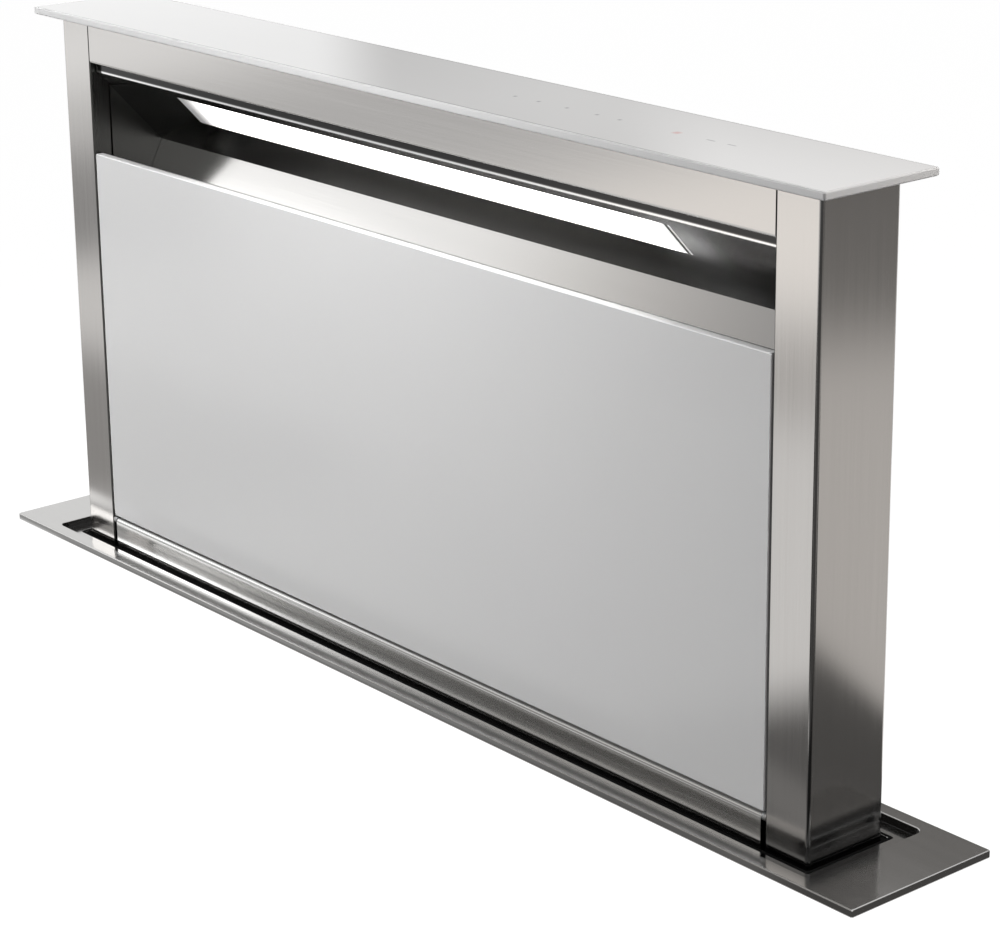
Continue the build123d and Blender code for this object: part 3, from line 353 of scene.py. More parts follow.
def fine_lines(low, high, fields, axis, step=30.0, reach=32.0, fine=2.0):
    """Grid lines along one axis: even ones, and close ones inside the borders of each field."""
    lines = [np.linspace(low, high, int((high - low) / step) + 2)]
    for field in fields:
        centre, half = field[axis], field[axis + 2]
        near = min(reach, half)
        lines += [centre + side * (half - np.arange(-fine, near, fine)) for side in (-1, 1)]
    lines = np.unique(np.round(np.concatenate(lines), 2))
    lines = lines[(lines > low + 0.5) & (lines < high - 0.5)]
    return np.concatenate([[low], lines[np.append(True, np.diff(lines) > 0.7)], [high]])


# %% Housing plan
housing_x, housing_y, housing_foot = 398.0, 48.0, -740.0
housing_skin, fold_radius = 1.2, 2.4
lip_end, lip_y = 384.0, -46.8
back_fields = [(side * 190.0, -372.0, 168.0, 322.0, 30.0, 3.0, 6.0) for side in (-1, 1)]
side_field = (0.0, -330.0, 26.0, 270.0, 18.0, 1.8, 4.0)


def shell_plan():
    """Right half of the plan, from the lip round the side to the middle of the back: its points, their
    outward normals and the number of the run that each is on."""
    r, front_bend, back_bend = fold_radius, arc_steps(1, -90, 0, 6), arc_steps(1, 0, 90, 6)
    bend_x, front_y, back_y = housing_x - r, lip_y + r, housing_y - r
    side = fine_lines(front_y, back_y, [side_field], 0, step=12, reach=20)[1:-1, None]
    back = fine_lines(0, bend_x, back_fields[1:], 0)[-2::-1, None]
    runs = [([(lip_end, lip_y), ((lip_end + bend_x) / 2, lip_y)], (0, -1)),
            ((bend_x, front_y) + r * front_bend, front_bend),
            ((housing_x, 0) + side * (0, 1), (1, 0)),
            ((bend_x, back_y) + r * back_bend, back_bend),
            ((0, housing_y) + back * (1, 0), (0, 1))]
    normals = [np.broadcast_to(normal, np.shape(line)) for line, normal in runs]
    which = np.repeat(range(len(runs)), [len(line) for line, _ in runs])
    return np.concatenate([line for line, _ in runs]), np.concatenate(normals), which


# %% Housing shell
def shell_grid():
    """Outer and inner face of the folded sheet at each height, pressed along the sheet's normal."""
    side_run, back_run = 2, 4
    points, normals, which = shell_plan()
    flip = np.array([-1.0, 1.0])
    points = np.concatenate([points, points[-2::-1] * flip])
    normals = np.concatenate([normals, normals[-2::-1] * flip])
    which = np.concatenate([which, which[-2::-1]])
    z = fine_lines(housing_foot, tray_bottom, back_fields + [side_field], 1)[:, None]
    pressed = np.zeros((len(z), len(points)))
    for field in back_fields:
        pressed += np.where(which == back_run, field_height(points[:, 0], z, field), 0)
    pressed += np.where(which == side_run, field_height(points[:, 1], z, side_field), 0)
    outer = points + normals * pressed[..., None]
    inner = (outer - normals * housing_skin)[:, ::-1]
    loop = np.concatenate([outer, inner], 1)
    return np.concatenate([loop, np.broadcast_to(z[..., None], loop.shape[:2] + (1,))], 2) * mm, False


def plan_block(x, y, z):
    """A small folded ledge as a closed strip."""
    return along_z(rounded_outline([(x[0], y[0]), (x[1], y[0]), (x[1], y[1]), (x[0], y[1])], 0.3, 3), *z)


below_tray = tray_bottom - 0.02
ledge_z, ledge_x, ledge_y = (tray_bottom - housing_skin, below_tray), (389.0, 396.8), (lip_y + 3, 46.6)
rear_ledge_x, rear_ledge_y = (-388.8, 388.8), (39.0, 46.7)
ledge = plan_block(ledge_x, ledge_y, ledge_z)
shell_parts = [shell_grid(), ledge, mirrored(ledge), plan_block(rear_ledge_x, rear_ledge_y, ledge_z)]
shell = make_piece("housing_shell", shell_parts, sharp=50)
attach(shell, "base")
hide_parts("housing_back")

# %% [markdown]
# ## Flat pressed sheets
# The housing's front is a flat sheet with fields and a square hole for the blower's inlet. It is a grid
# of cells; the cells in the hole are left out, and every border of what stays gets a wall.

# %% Pressed sheets
def sheet_mesh(name, u, v, place, fields, hole, thickness, sharp=50):
    """Two faces of a sheet over the lines u and v, one thickness apart, with walls at all borders.
    place(u, v, height) gives the points, and hole is ((u low, u high), (v low, v high))."""
    grid_u, grid_v = np.meshgrid(u, v, indexing="ij")
    height = sum(field_height(grid_u, grid_v, field) for field in fields)
    both_faces = [place(grid_u, grid_v, height - depth).reshape(-1, 3) for depth in (0, thickness)]
    points = np.concatenate(both_faces)
    mid_u, mid_v = (u[:-1] + u[1:]) / 2, (v[:-1] + v[1:]) / 2
    hole_u, hole_v = [(mid > side[0]) & (mid < side[1]) for mid, side in zip((mid_u, mid_v), hole)]
    kept = ~(hole_u[:, None] & hole_v)
    cells, below = grid_faces(len(u), len(v), False, False), len(u) * len(v)
    faces = [cells[kept.ravel()], cells[kept.ravel()][:, ::-1] + below]
    padded = np.pad(kept, 1)
    # each side of a cell: where its neighbour is in the padded grid, and the corners of the wall there
    for row, column, first, second in ((0, 1, 0, 3), (2, 1, 2, 1), (1, 0, 1, 0), (1, 2, 3, 2)):
        neighbour = padded[row:row + len(u) - 1, column:column + len(v) - 1]
        border = cells[(kept & ~neighbour).ravel()]
        a, b = border[:, first], border[:, second]
        faces.append(np.stack([a, b, b + below, a + below], 1))
    used, faces = np.unique(np.concatenate(faces), return_inverse=True)
    points, faces = points[used], faces.reshape(-1, 4)
    if signed_volume(points, [faces]) < 0:
        faces = faces[:, ::-1]
    return finish_mesh(name, points, faces.tolist(), sharp)


def front_sheet(name, x, z, face_y, fields, hole=((0, 0), (0, 0))):
    """A pressed sheet whose outer face looks to the front."""
    u = np.unique(np.append(fine_lines(x[0], x[1], fields, 0), hole[0]))
    v = np.unique(np.append(fine_lines(z[0], z[1], fields, 1), hole[1]))
    u, v = u[(u >= x[0]) & (u <= x[1])], v[(v >= z[0]) & (v <= z[1])]

    def place(across, up, height):
        return np.stack([across, face_y - height, up], -1) * mm

    return sheet_mesh(name, u, v, place, fields, hole, housing_skin)


# %% Housing front
inlet_half, fan_height = 62.0, -600.0
front_fields = [(side * 190.0, -214.0, 168.0, 186.0, 30.0, 3.0, 6.0) for side in (-1, 1)]
front_fields.append((300.0, -588.0, 72.0, 118.0, 24.0, 3.0, 6.0))
inlet_hole = ((-inlet_half, inlet_half), (fan_height - inlet_half, fan_height + inlet_half))
face = front_sheet("housing_face", (-housing_x, housing_x), (housing_foot, below_tray), -housing_y,
                   front_fields, inlet_hole)
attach(face, "base")
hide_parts("housing_front")
front_ledge_x, front_ledge_y = (-383.5, 383.5), (lip_y, -39.0)
front_ledge = make_piece("housing_front_ledge", [plan_block(front_ledge_x, front_ledge_y, ledge_z)])
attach(front_ledge, "base")

# %% [markdown]
# ## Covers
# The blower's cover is one more pressed sheet, with three beads inside its field. The lid of the
# control box is a moulded tray: rings of round-cornered rectangles run from its hollow inside round
# the rim to the raised panel in front.

# %% Blower cover
box_x, box_z, box_front = (-125.0, 205.0), (-735.0, -438.0), -228.0
cover_u, cover_v = sum(box_x) / 2, sum(box_z) / 2
bead_pitch = 56.0
cover_fields = [(cover_u, cover_v, 140.0, 124.0, 20.0, 1.8, 6.0)]
cover_fields += [(cover_u, cover_v + rise, 118.0, 7.0, 6.5, -1.6, 5.0)
                 for rise in (0.0, bead_pitch, -bead_pitch)]
blower_cover = front_sheet("blower_cover", box_x, box_z, box_front, cover_fields)
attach(blower_cover, "base")
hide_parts("blower_lid")

# %% Control cover
control_x, control_z, control_front = (-385.0, -185.0), (-620.0, -470.0), -100.0
lid_skin, lid_reach, lid_bend, lid_corner = 1.6, 8.0, 2.5, 4.0
panel_inset, panel_slope, panel_rise, panel_corner = 13.0, 4.0, 1.8, 10.0


def tray_rings(half_x, half_z, shrink):
    """Rings (half width, half height, corner, y) of one face of the tray, from its rim to its middle."""
    rings = [(shrink, lid_corner - shrink, lid_reach)]
    for out, up in arc_steps(lid_bend, 0, 90):
        inset = lid_bend - out + shrink
        rings.append((inset, max(lid_corner - inset, 0.6), lid_bend - up + shrink))
    for share in (0.0, 0.15, 0.5, 0.85, 1.0):
        rings.append((panel_inset + panel_slope * share + shrink, panel_corner,
                      shrink - panel_rise * smooth_step(share)))
    return [(half_x - inset, half_z - inset, corner, control_front + y) for inset, corner, y in rings]


lid_half = [(high - low) / 2 for low, high in (control_x, control_z)]
tray = stacked_rings(tray_rings(*lid_half, lid_skin)[::-1] + tray_rings(*lid_half, 0.0))
tray = tray[..., [0, 2, 1]] + np.array([sum(control_x) / 2, 0.0, sum(control_z) / 2]) * mm
control_cover = make_piece("control_cover", [(tray, False)], sharp=60)
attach(control_cover, "base")
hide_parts("control_lid")

# %% [markdown]
# ## Duct collar
# The collar is a turned shape: its section, a plate with a fillet, a tube, and a bead that holds the
# duct's clamp, goes once round the outlet's axis. Eight gussets brace the tube on the plate, and an
# upright bar across the bore carries the two flaps.

# %% Collar section
outlet_y, outlet_z, plate_x, collar_end = -141.0, -527.0, 205.0, 265.0
bore, tube_radius, plate_radius = 73.0, 75.0, 85.0
rounding, fillet, plate_skin, bead_radius, bead_from_end = 0.4, 2.5, 2.0, 1.6, 9.0
collar_section = [
    (plate_x, bore), (plate_x, plate_radius - rounding), (plate_x + rounding, plate_radius),
    (plate_x + plate_skin - rounding, plate_radius), (plate_x + plate_skin, plate_radius - rounding)]
collar_section += [(plate_x + plate_skin + fillet + up, tube_radius + fillet + out)
                   for out, up in arc_steps(fillet, 180, 270)]
collar_section += [(collar_end - bead_from_end + out, tube_radius + up)
                   for out, up in arc_steps(bead_radius, 180, 0, 9)]
collar_section += [(collar_end - 0.5, tube_radius), (collar_end, tube_radius - 0.5),
                   (collar_end, bore + 0.5), (collar_end - 0.5, bore)]


def round_outlet(section, segments=72):
    """Turns points (x, radius) about the outlet's axis: rows follow the section, columns the angle."""
    angle = np.linspace(0, 2 * np.pi, segments, endpoint=False)
    x, radius = np.array(section).T[..., None]
    return np.stack([np.broadcast_to(x, (len(section), segments)), outlet_y + radius * np.cos(angle),
                     outlet_z + radius * np.sin(angle)], -1) * mm, True


# %% Gussets and flap bar
gusset = rounded_outline([(plate_x + 1.5, tube_radius - 0.5), (plate_x + 1.5, plate_radius - 1.5),
                          (plate_x + 3.5, plate_radius - 1.5), (plate_x + 16.0, tube_radius - 0.5)], 0.4, 3)


def gusset_part(turn, thickness=2.0):
    """A gusset's outline at both sides of its middle plane, turned to its place round the tube."""
    across = np.array([-thickness / 2, thickness / 2])[:, None]
    radius = gusset[None, :, 1]
    return np.stack([np.broadcast_to(gusset[None, :, 0], (2, len(gusset))),
                     outlet_y + radius * cos(turn) - across * sin(turn),
                     outlet_z + radius * sin(turn) + across * cos(turn)], -1) * mm, False


flap_bar_x, flap_bar_half = 225.0, (3.0, 1.2)
flap_bar = plan_block((flap_bar_x - flap_bar_half[0], flap_bar_x + flap_bar_half[0]),
                      (outlet_y - flap_bar_half[1], outlet_y + flap_bar_half[1]),
                      (outlet_z - bore - 1.0, outlet_z + bore + 1.0))
collar = make_piece("duct_collar", [round_outlet(collar_section), flap_bar]
                    + [gusset_part(radians(22.5 + 45 * step)) for step in range(8)])
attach(collar, "base")
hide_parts("outlet_collar")

# %% [markdown]
# ## Screws
# A pan-head screw is a solid of revolution: shank, flat underside, domed head. Only its cross recess
# isn't round, so the ring's radius there depends on the angle, which draws the arms of the cross.

# %% Screw heads
def screw_grid(head, rise, shank, length, segments=24):
    """Rings from the shank's tip over the head into the cross; the screw points along +Z."""
    angle = np.linspace(0, 2 * np.pi, segments, endpoint=False) + np.pi / segments
    c, s = np.abs(np.cos(angle)), np.abs(np.sin(angle))
    reach, arm = 0.52 * head, 0.16 * head
    cross = np.maximum(np.minimum(reach / c, arm / s), np.minimum(reach / s, arm / c))
    dome = [(1.0, 0.12), (1.0, 0.45), (0.93, 0.75), (0.78, 0.94), (0.62, 1.0)]
    rings = [(shank * 0.6, length), (shank, length - shank * 0.5), (shank, 0.0), (head * 0.97, 0.0)]
    rings += [(head * share, -rise * height) for share, height in dome]
    radius = np.stack([np.full(segments, r) for r, _ in rings] + [cross, cross * 0.8])
    height = np.array([h for _, h in rings] + [-rise, -0.35 * rise])
    return np.stack([radius * np.cos(angle), radius * np.sin(angle),
                     np.broadcast_to(height[:, None], radius.shape)], -1)


def screw_set(name, node, spots, inward, grid, cross_turn=1.7):
    """One screw at each spot, its +Z axis turned inwards, and each cross turned further than the last."""
    turned = []
    for number, (spot, direction) in enumerate(zip(spots, inward)):
        spin = Matrix.Rotation(cross_turn * number, 3, "Z")
        turn = np.array(Vector(direction).to_track_quat("Z", "Y").to_matrix() @ spin)
        turned.append(((grid @ turn.T + np.array(spot)) * mm, False))
    piece = make_piece(name, turned, sharp=40)
    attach(piece, "base")
    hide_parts(node)
    return piece


# %% Screws in their places
small_screw, foot_bolt = screw_grid(3.8, 2.2, 2.0, 6.0), screw_grid(5.7, 3.3, 3.0, 6.0)
lip_screw_x, lowest_screw, screw_pitch = 391.0, -700.0, 160.0
lip_spots = [(side * lip_screw_x, -housing_y, lowest_screw + screw_pitch * step)
             for side in (-1, 1) for step in range(5)]
screw_inset, lid_inset, foot_face = 5.7, 6.0, 400.5
cover_spots = [(x, box_front, z) for x in (box_x[0] + screw_inset, box_x[1] - screw_inset)
               for z in (box_z[0] + screw_inset, box_z[1] - screw_inset)]
cover_spots += [(x, control_front, z) for x in (control_x[0] + lid_inset, control_x[1] - lid_inset)
                for z in (control_z[0] + lid_inset, control_z[1] - lid_inset)]
foot_bolt_z, foot_bolt_y = -655.0, 15.0
foot_spots = [(side * foot_face, y, foot_bolt_z) for side in (-1, 1) for y in (-foot_bolt_y, foot_bolt_y)]
inward = (0, 1, 0)
screw_pieces = [
    screw_set("pan_screws_housing", "housing_screws", lip_spots, [inward] * len(lip_spots), small_screw),
    screw_set("pan_screws_covers", "lid_screws", cover_spots, [inward] * len(cover_spots), small_screw),
    screw_set("pan_bolts_feet", "foot_bolts", foot_spots, [(-x, 0, 0) for x, _, _ in foot_spots], foot_bolt)]

# %% [markdown]
# ## Material tools
# A finish is a few nodes round one Principled shader. These helpers keep the cells short: they add a
# node and feed its sockets, do sums with sockets, and turn a function into a node group, so that an
# effect used by several finishes is built once.

# %% Node helpers
def feed(tree, socket, value):
    """Sets a socket, or links it where the value is another node's output."""
    if isinstance(value, bpy.types.NodeSocket):
        tree.links.new(value, socket)
    else:
        socket.default_value = value


def put(tree, kind, inputs=None, **settings):
    """Adds a node; settings are its properties, inputs its sockets by name or number."""
    node = tree.nodes.new("ShaderNode" + kind)
    for key, value in settings.items():
        setattr(node, key, value)
    for key, value in (inputs or {}).items():
        feed(tree, node.inputs[key], value)
    return node


# %% Sums and textures
def math_of(tree, operation, *values):
    return put(tree, "Math", dict(enumerate(values)), operation=operation).outputs[0]


def vector_of(tree, operation, *values):
    return put(tree, "VectorMath", dict(enumerate(values)), operation=operation).outputs[0]


def product(tree, *values):
    return reduce(lambda first, second: math_of(tree, "MULTIPLY", first, second), values)


def weigh(tree, first, second, share):
    """first * share + second * (1 - share)"""
    return math_of(tree, "ADD", product(tree, first, share), product(tree, second, 1 - share))


def vary(tree, colour, tone, amount):
    """The colour times 1 + (tone - 0.5) * amount."""
    swing = product(tree, math_of(tree, "SUBTRACT", tone, 0.5), amount)
    return vector_of(tree, "MULTIPLY", colour, math_of(tree, "ADD", swing, 1.0))


def blend(tree, factor, first, second):
    """Colour mix: first where the factor is 0, second where it is 1."""
    return put(tree, "Mix", {0: factor, 6: first, 7: second}, data_type="RGBA").outputs[2]


def ramp(tree, value, from_low, from_high, to_low=0.0, to_high=1.0, smooth=True):
    return put(tree, "MapRange", {0: value, 1: from_low, 2: from_high, 3: to_low, 4: to_high},
               interpolation_type="SMOOTHSTEP" if smooth else "LINEAR").outputs[0]


def object_place(tree):
    """Coordinates that stay on the piece in every pose."""
    return put(tree, "TexCoord").outputs["Object"]


def axes_of(tree, vector):
    return put(tree, "SeparateXYZ", {0: vector}).outputs


def noise(tree, place, scale, detail=2.0, **more):
    return put(tree, "TexNoise", {"Vector": place, "Scale": scale, "Detail": detail, **more}).outputs[0]


def relief(tree, strength, height, distance=0.0002):
    """Normal of a fine relief."""
    return put(tree, "Bump", {"Strength": strength, "Distance": distance, "Height": height}).outputs[0]


def grey(value, warmth=0.0):
    return (value * (1 + warmth), value, value * (1 - warmth), 1)


# %% Groups and materials
def new_group(build, inputs):
    """A node group with the name of the function that builds it. The function takes the tree and the
    group's input sockets by name, and returns the sockets of its outputs by name."""
    group = bpy.data.node_groups.new(build.__name__, "ShaderNodeTree")
    for name, value in inputs.items():
        kind = {0: "Float", 3: "Vector", 4: "Color"}[len(value) if isinstance(value, tuple) else 0]
        made = group.interface.new_socket(name, in_out="INPUT", socket_type="NodeSocket" + kind)
        made.default_value = value
    outputs = build(group, group.nodes.new("NodeGroupInput").outputs)
    for name in outputs:
        kind = "Color" if name == "Colour" else "Float"
        group.interface.new_socket(name, in_out="OUTPUT", socket_type="NodeSocket" + kind)
    end = group.nodes.new("NodeGroupOutput")
    for name, socket in outputs.items():
        group.links.new(socket, end.inputs[name])
    print("group", group.name, "has", len(group.nodes), "nodes")
    return group


def use_group(tree, group, **inputs):
    """Outputs of a new node for the group; an underscore in an input's name stands for a space."""
    node = put(tree, "Group", node_tree=group)
    for key, value in inputs.items():
        feed(tree, node.inputs[key.replace("_", " ")], value)
    return node.outputs


def new_material(name):
    material = bpy.data.materials.new(name)
    material.use_nodes = True
    material.node_tree.nodes.clear()
    return material, material.node_tree


def surface(material, shader):
    """Joins a shader to the material's output and returns the material."""
    put(material.node_tree, "OutputMaterial", {"Surface": shader.outputs[0]})
    print("material", material.name, "has", len(material.node_tree.nodes), "nodes")
    return material


def principled(material, inputs):
    return surface(material, put(material.node_tree, "BsdfPrincipled", inputs))


# %% [markdown]
# ## Stage
# The vent stands on its feet on a pale floor, and a slab of white worktop lies round the housing, just
# under the flange's rim. The camera and reflections see a white background, but it lights little.

# %% Floor and worktop
def seen_directly(tree):
    """1 for camera, glossy and transmission rays, so that metal and glass show the same backdrop."""
    path = put(tree, "LightPath").outputs
    seen = math_of(tree, "MAXIMUM", path["Is Camera Ray"], path["Is Glossy Ray"])
    return math_of(tree, "MAXIMUM", seen, path["Is Transmission Ray"])


def pale_stage_material(name, paint, glow):
    """A diffuse white that keeps shadows, lifted to pure white where it is seen directly."""
    material, tree = new_material(name)
    shader = put(tree, "BsdfDiffuse", {"Color": grey(paint)})
    light = put(tree, "Emission", {"Color": grey(1.0), "Strength": product(tree, seen_directly(tree), glow)})
    return surface(material, put(tree, "AddShader", {0: shader.outputs[0], 1: light.outputs[0]}))


def flat_mesh(name, points, faces, material):
    mesh = bpy.data.meshes.new(name)
    mesh.from_pydata(points, [], faces)
    mesh.materials.append(material)
    made = bpy.data.objects.new(name, mesh)
    scene.collection.objects.link(made)
    return made


def level(x, y, z):
    """Corners of a level rectangle."""
    return [(x[0], y[0], z), (x[1], y[0], z), (x[1], y[1], z), (x[0], y[1], z)]


floor_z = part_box("foot_brackets")[0].z
flat_mesh("floor", level((-8, 8), (-8, 8), floor_z), [(0, 1, 2, 3)],
          pale_stage_material("pale_floor", 0.3, 0.92))

slab_thickness = 0.038
slab_x, slab_y = (-0.62, 0.62), (-0.62, 0.34)
cut_x, cut_y = (-0.402, 0.402), (-0.052, 0.052)
slab_grid = np.stack([level(slab_x, slab_y, 0.0), level(cut_x, cut_y, 0.0),
                      level(cut_x, cut_y, -slab_thickness), level(slab_x, slab_y, -slab_thickness)])
slab = make_piece("worktop_slab", [(slab_grid, True)])
slab.data.materials.append(pale_stage_material("pale_worktop", 0.2, 0.9))

# %% [markdown]
# ## Soft patches
# A soft patch is a box with a blurred border. Patches shade the cards that the steel reflects, and on the
# vent itself they draw print and small marks of painted shade, highlights and reflections.

# %% Patches
def soft_patch(tree, given):
    """1 inside a turned box and 0 outside; the softness widens the border both ways."""
    place = put(tree, "Mapping", {"Vector": object_place(tree), "Location": given["Place"],
                                  "Rotation": given["Turn"], "Scale": given["Half size"]},
                vector_type="TEXTURE").outputs[0]
    outside = math_of(tree, "ADD", 1.0, given["Softness"])
    inside = math_of(tree, "SUBTRACT", 1.0, given["Softness"])
    masks = [ramp(tree, math_of(tree, "ABSOLUTE", axis), outside, inside) for axis in axes_of(tree, place)]
    return {"Mask": product(tree, *masks)}


patch_group = new_group(soft_patch, {"Place": (0, 0, 0), "Turn": (0, 0, 0), "Half size": (1, 1, 1),
                                     "Softness": 0.3})


def marked(tree, colour, marks):
    """Lays soft patches over a colour: each is (place, half size, softness, colour), and a fifth value
    is its turn about Z in degrees."""
    for place, half, softness, value, *turn in marks:
        mask = use_group(tree, patch_group, Place=place, Turn=(0, 0, radians(sum(turn))), Half_size=half,
                         Softness=softness)["Mask"]
        colour = blend(tree, mask, colour, value)
    return colour


# %% [markdown]
# ## Reflection cards
# Brushed steel shows what stands round it. In a studio that is a set of cards: pale ones make the
# broad light bands and dark ones the deep edges that give folded steel its shape. They lie on the
# worktop round the vent, three stand beside it, one lies overhead, and only reflections see them.
# Below the worktop a low ring of cards, paler at its top, does the same for the galvanised housing.

# %% Cards
def reflection_card(name, points, faces, base, patches=(), cover=None):
    """A card of a base colour under soft patches, which only reflections see. Its back, and all
    outside its cover, which is (place, half size, softness), is clear."""
    material, tree = new_material(name + "_light")
    light = put(tree, "Emission", {"Color": marked(tree, base, patches)})
    front = math_of(tree, "SUBTRACT", 1.0, put(tree, "NewGeometry").outputs["Backfacing"])
    if cover:
        place, half, softness = cover
        covered = use_group(tree, patch_group, Place=place, Half_size=half, Softness=softness)["Mask"]
        front = product(tree, front, covered)
    clear = put(tree, "BsdfTransparent")
    surface(material, put(tree, "MixShader", {0: front, 1: clear.outputs[0], 2: light.outputs[0]}))
    card = flat_mesh(name, points, faces, material)
    card.visible_camera = card.visible_diffuse = card.visible_shadow = False
    card.visible_volume_scatter = False


def upright(x, y, z):
    """Corners of an upright rectangle between two points of its foot."""
    return [(x[0], y[0], z[0]), (x[1], y[1], z[0]), (x[1], y[1], z[1]), (x[0], y[0], z[1])]


# %% Card on the worktop
# the order of a card's corners sets which side is its front
forwards, backwards = [(0, 1, 2, 3)], [(3, 2, 1, 0)]
sheet_z = 0.0005
sheet_points = level((-3, 3), (-3, 3), sheet_z) + level((-0.4402, 0.4402), (-0.0577, 0.0577), sheet_z)
sheet_faces = [(side, (side + 1) % 4, (side + 1) % 4 + 4, side + 4) for side in range(4)]
reflection_card("reflection_sheet", sheet_points, sheet_faces, grey(0.8, 0.01), [
    # far front: a grey band with pale ends, which the fascia and the tops of the posts show
    ((-1.45, -1.12, 0), (0.36, 0.30, 1), 0.6, grey(0.60)),
    ((-2.10, -1.15, 0), (0.25, 0.30, 1), 0.5, grey(1.10)),
    ((-0.66, -1.15, 0), (0.30, 0.28, 1), 0.4, grey(1.10, 0.04)),
    ((-0.29, -0.74, 0), (0.14, 0.12, 1), 0.6, grey(0.50, 0.03)),
    # front left: a dark spot, grey by the flange, and one pale patch at the post's foot
    ((-1.30, -0.64, 0), (0.26, 0.13, 1), 0.4, grey(0.31, 0.01), 33),
    ((-0.62, -0.18, 0), (0.26, 0.12, 1), 0.5, grey(0.34, 0.02)),
    ((-0.425, -0.068, 0), (0.045, 0.014, 1), 0.3, grey(1.6)),
    ((0.02, -0.06, 0), (0.42, 0.03, 1), 0.5, grey(0.10, 0.02)),
    # front right: the dark card that shades the post's foot
    ((0.42, -0.10, 0), (0.24, 0.08, 1), 0.22, grey(0.12, 0.02), 18),
    ((0.30, -0.09, 0), (0.10, 0.02, 1), 0.6, grey(0.20, 0.02), 12),
    # front right corner: two dark cards, which deepen the bend of the right post
    ((1.04, -0.72, 0), (0.50, 0.50, 1), 0.1, grey(0.03)),
    ((0.42, -0.77, 0), (0.45, 0.35, 1), 0.12, grey(0.03), 65),
    # along the front of the flange: the band that its outer edge shows
    ((-0.30, -0.063, 0), (0.42, 0.0045, 1), 0.7, grey(0.44)),
    # right: grey beyond, a darker card across it, and a dark one near the side
    ((1.40, 0.30, 0), (0.95, 1.4, 1), 0.02, grey(0.56, 0.04)),
    ((1.75, 0.90, 0), (0.60, 1.2, 1), 0.25, grey(0.18, 0.04), 31),
    ((0.80, 0.113, 0), (0.46, 0.16, 1), 0.08, grey(0.085, 0.03), 21.3)])

# %% Standing and overhead cards
reflection_card("left_card", upright((-3.2, 0.9), (-1.5, -1.5), (0.02, 2.2)), backwards, grey(1.0), [
    ((-2.85, -1.5, 0.93), (0.66, 1, 0.25), 0.3, grey(3.2)),
    ((-0.4, -1.5, 1.0), (1.45, 1, 2), 0.2, grey(0.8, 0.03)),
    ((-0.42, -1.5, 0.45), (1.40, 1, 0.5), 0.12, grey(0.30, 0.03)),
], cover=((-1.15, -1.5, 1.1), (1.8, 1, 1.08), 0.08))
reflection_card("rear_card", upright((-1.3, 0.6), (0.72, 0.72), (0.0, 1.3)), forwards, grey(0.19, 0.04), [
    ((-0.3, 0.72, 0.9), (0.52, 1, 0.3), 0.3, grey(1.0)),
    ((-0.84, 0.72, 0.9), (0.30, 1, 0.3), 0.3, grey(0.35)),
], cover=((-0.35, 0.72, 0.5), (0.68, 1, 0.6), 0.12))
reflection_card("right_card", upright((1.6, 1.6), (-0.1, 2.2), (0.02, 1.3)), backwards, grey(0.09, 0.04),
                cover=((1.6, 1.0, 0.5), (1, 0.95, 0.62), 0.15))
reflection_card("upper_card", level((-2.6, 0.3), (-1.3, 0.35), 1.4), backwards, grey(0.30, 0.02), [
    ((-2.35, -0.5, 1.4), (0.6, 1.2, 1), 0.3, grey(1.0)),
], cover=((-1.15, -0.5, 1.4), (1.3, 0.75, 1), 0.1))

# %% Lower ring of cards
low_x, low_y, low_z, dark_z = (-1.1, 1.1), (-1.0, 0.85), (-0.7595, -0.06), -0.4
ring_faces = [(side, side + 4, (side + 1) % 4 + 4, (side + 1) % 4) for side in range(4)]
reflection_card("lower_cards", level(low_x, low_y, low_z[0]) + level(low_x, low_y, low_z[1]),
                forwards + ring_faces, grey(0.70, 0.01), [
    ((0, 0, low_z[1]), (9, 9, 0.26), 0.9, grey(1.05)),
    ((0.55, low_y[0], dark_z), (0.16, 0.2, 9), 0.8, grey(0.13, 0.02)),
    ((-0.75, low_y[0], dark_z), (0.20, 0.2, 9), 0.8, grey(0.16, 0.02)),
    ((-0.30, low_y[1], dark_z), (0.18, 0.2, 9), 0.8, grey(0.14, 0.02)),
    ((0.62, low_y[1], dark_z), (0.12, 0.2, 9), 0.8, grey(0.22, 0.02)),
    ((low_x[1], -0.32, dark_z), (0.2, 0.16, 9), 0.8, grey(0.14, 0.02)),
    ((low_x[0], 0.1, dark_z), (0.2, 0.16, 9), 0.8, grey(0.14, 0.02))])

# %% [markdown]
# ## Lamps
# One broad lamp stands at the front left, so the glass front fades from left to right. Of two small
# ones, one fills the front and one is the lens's glow on the glass. Two behind brighten the cap's ends.
# The world adds a soft even part.

# %% World and lamps
world = bpy.data.worlds.new("studio")
scene.world = world
world.use_nodes = True
world_tree = world.node_tree
world_tree.nodes.clear()
even = put(world_tree, "Background", {"Color": (0.99, 0.98, 0.985, 1), "Strength": 0.25})
white = put(world_tree, "Background", {"Color": grey(1.0), "Strength": 1.0})
both = put(world_tree, "MixShader", {0: seen_directly(world_tree), 1: even.outputs[0], 2: white.outputs[0]})
put(world_tree, "OutputWorld", {"Surface": both.outputs[0]})


def area_lamp(name, place, target, size, power, colour=(1, 1, 1)):
    data = bpy.data.lights.new(name, "AREA")
    data.shape = "RECTANGLE"
    data.size, data.size_y = size
    data.energy, data.color = power, colour
    lamp = bpy.data.objects.new(name, data)
    lamp.location = place
    lamp.rotation_mode = "QUATERNION"
    lamp.rotation_quaternion = (Vector(target) - Vector(place)).to_track_quat("-Z", "Y")
    lamp.visible_camera = lamp.visible_glossy = False
    scene.collection.objects.link(lamp)
    print("lamp", name, "gives", power, "W")


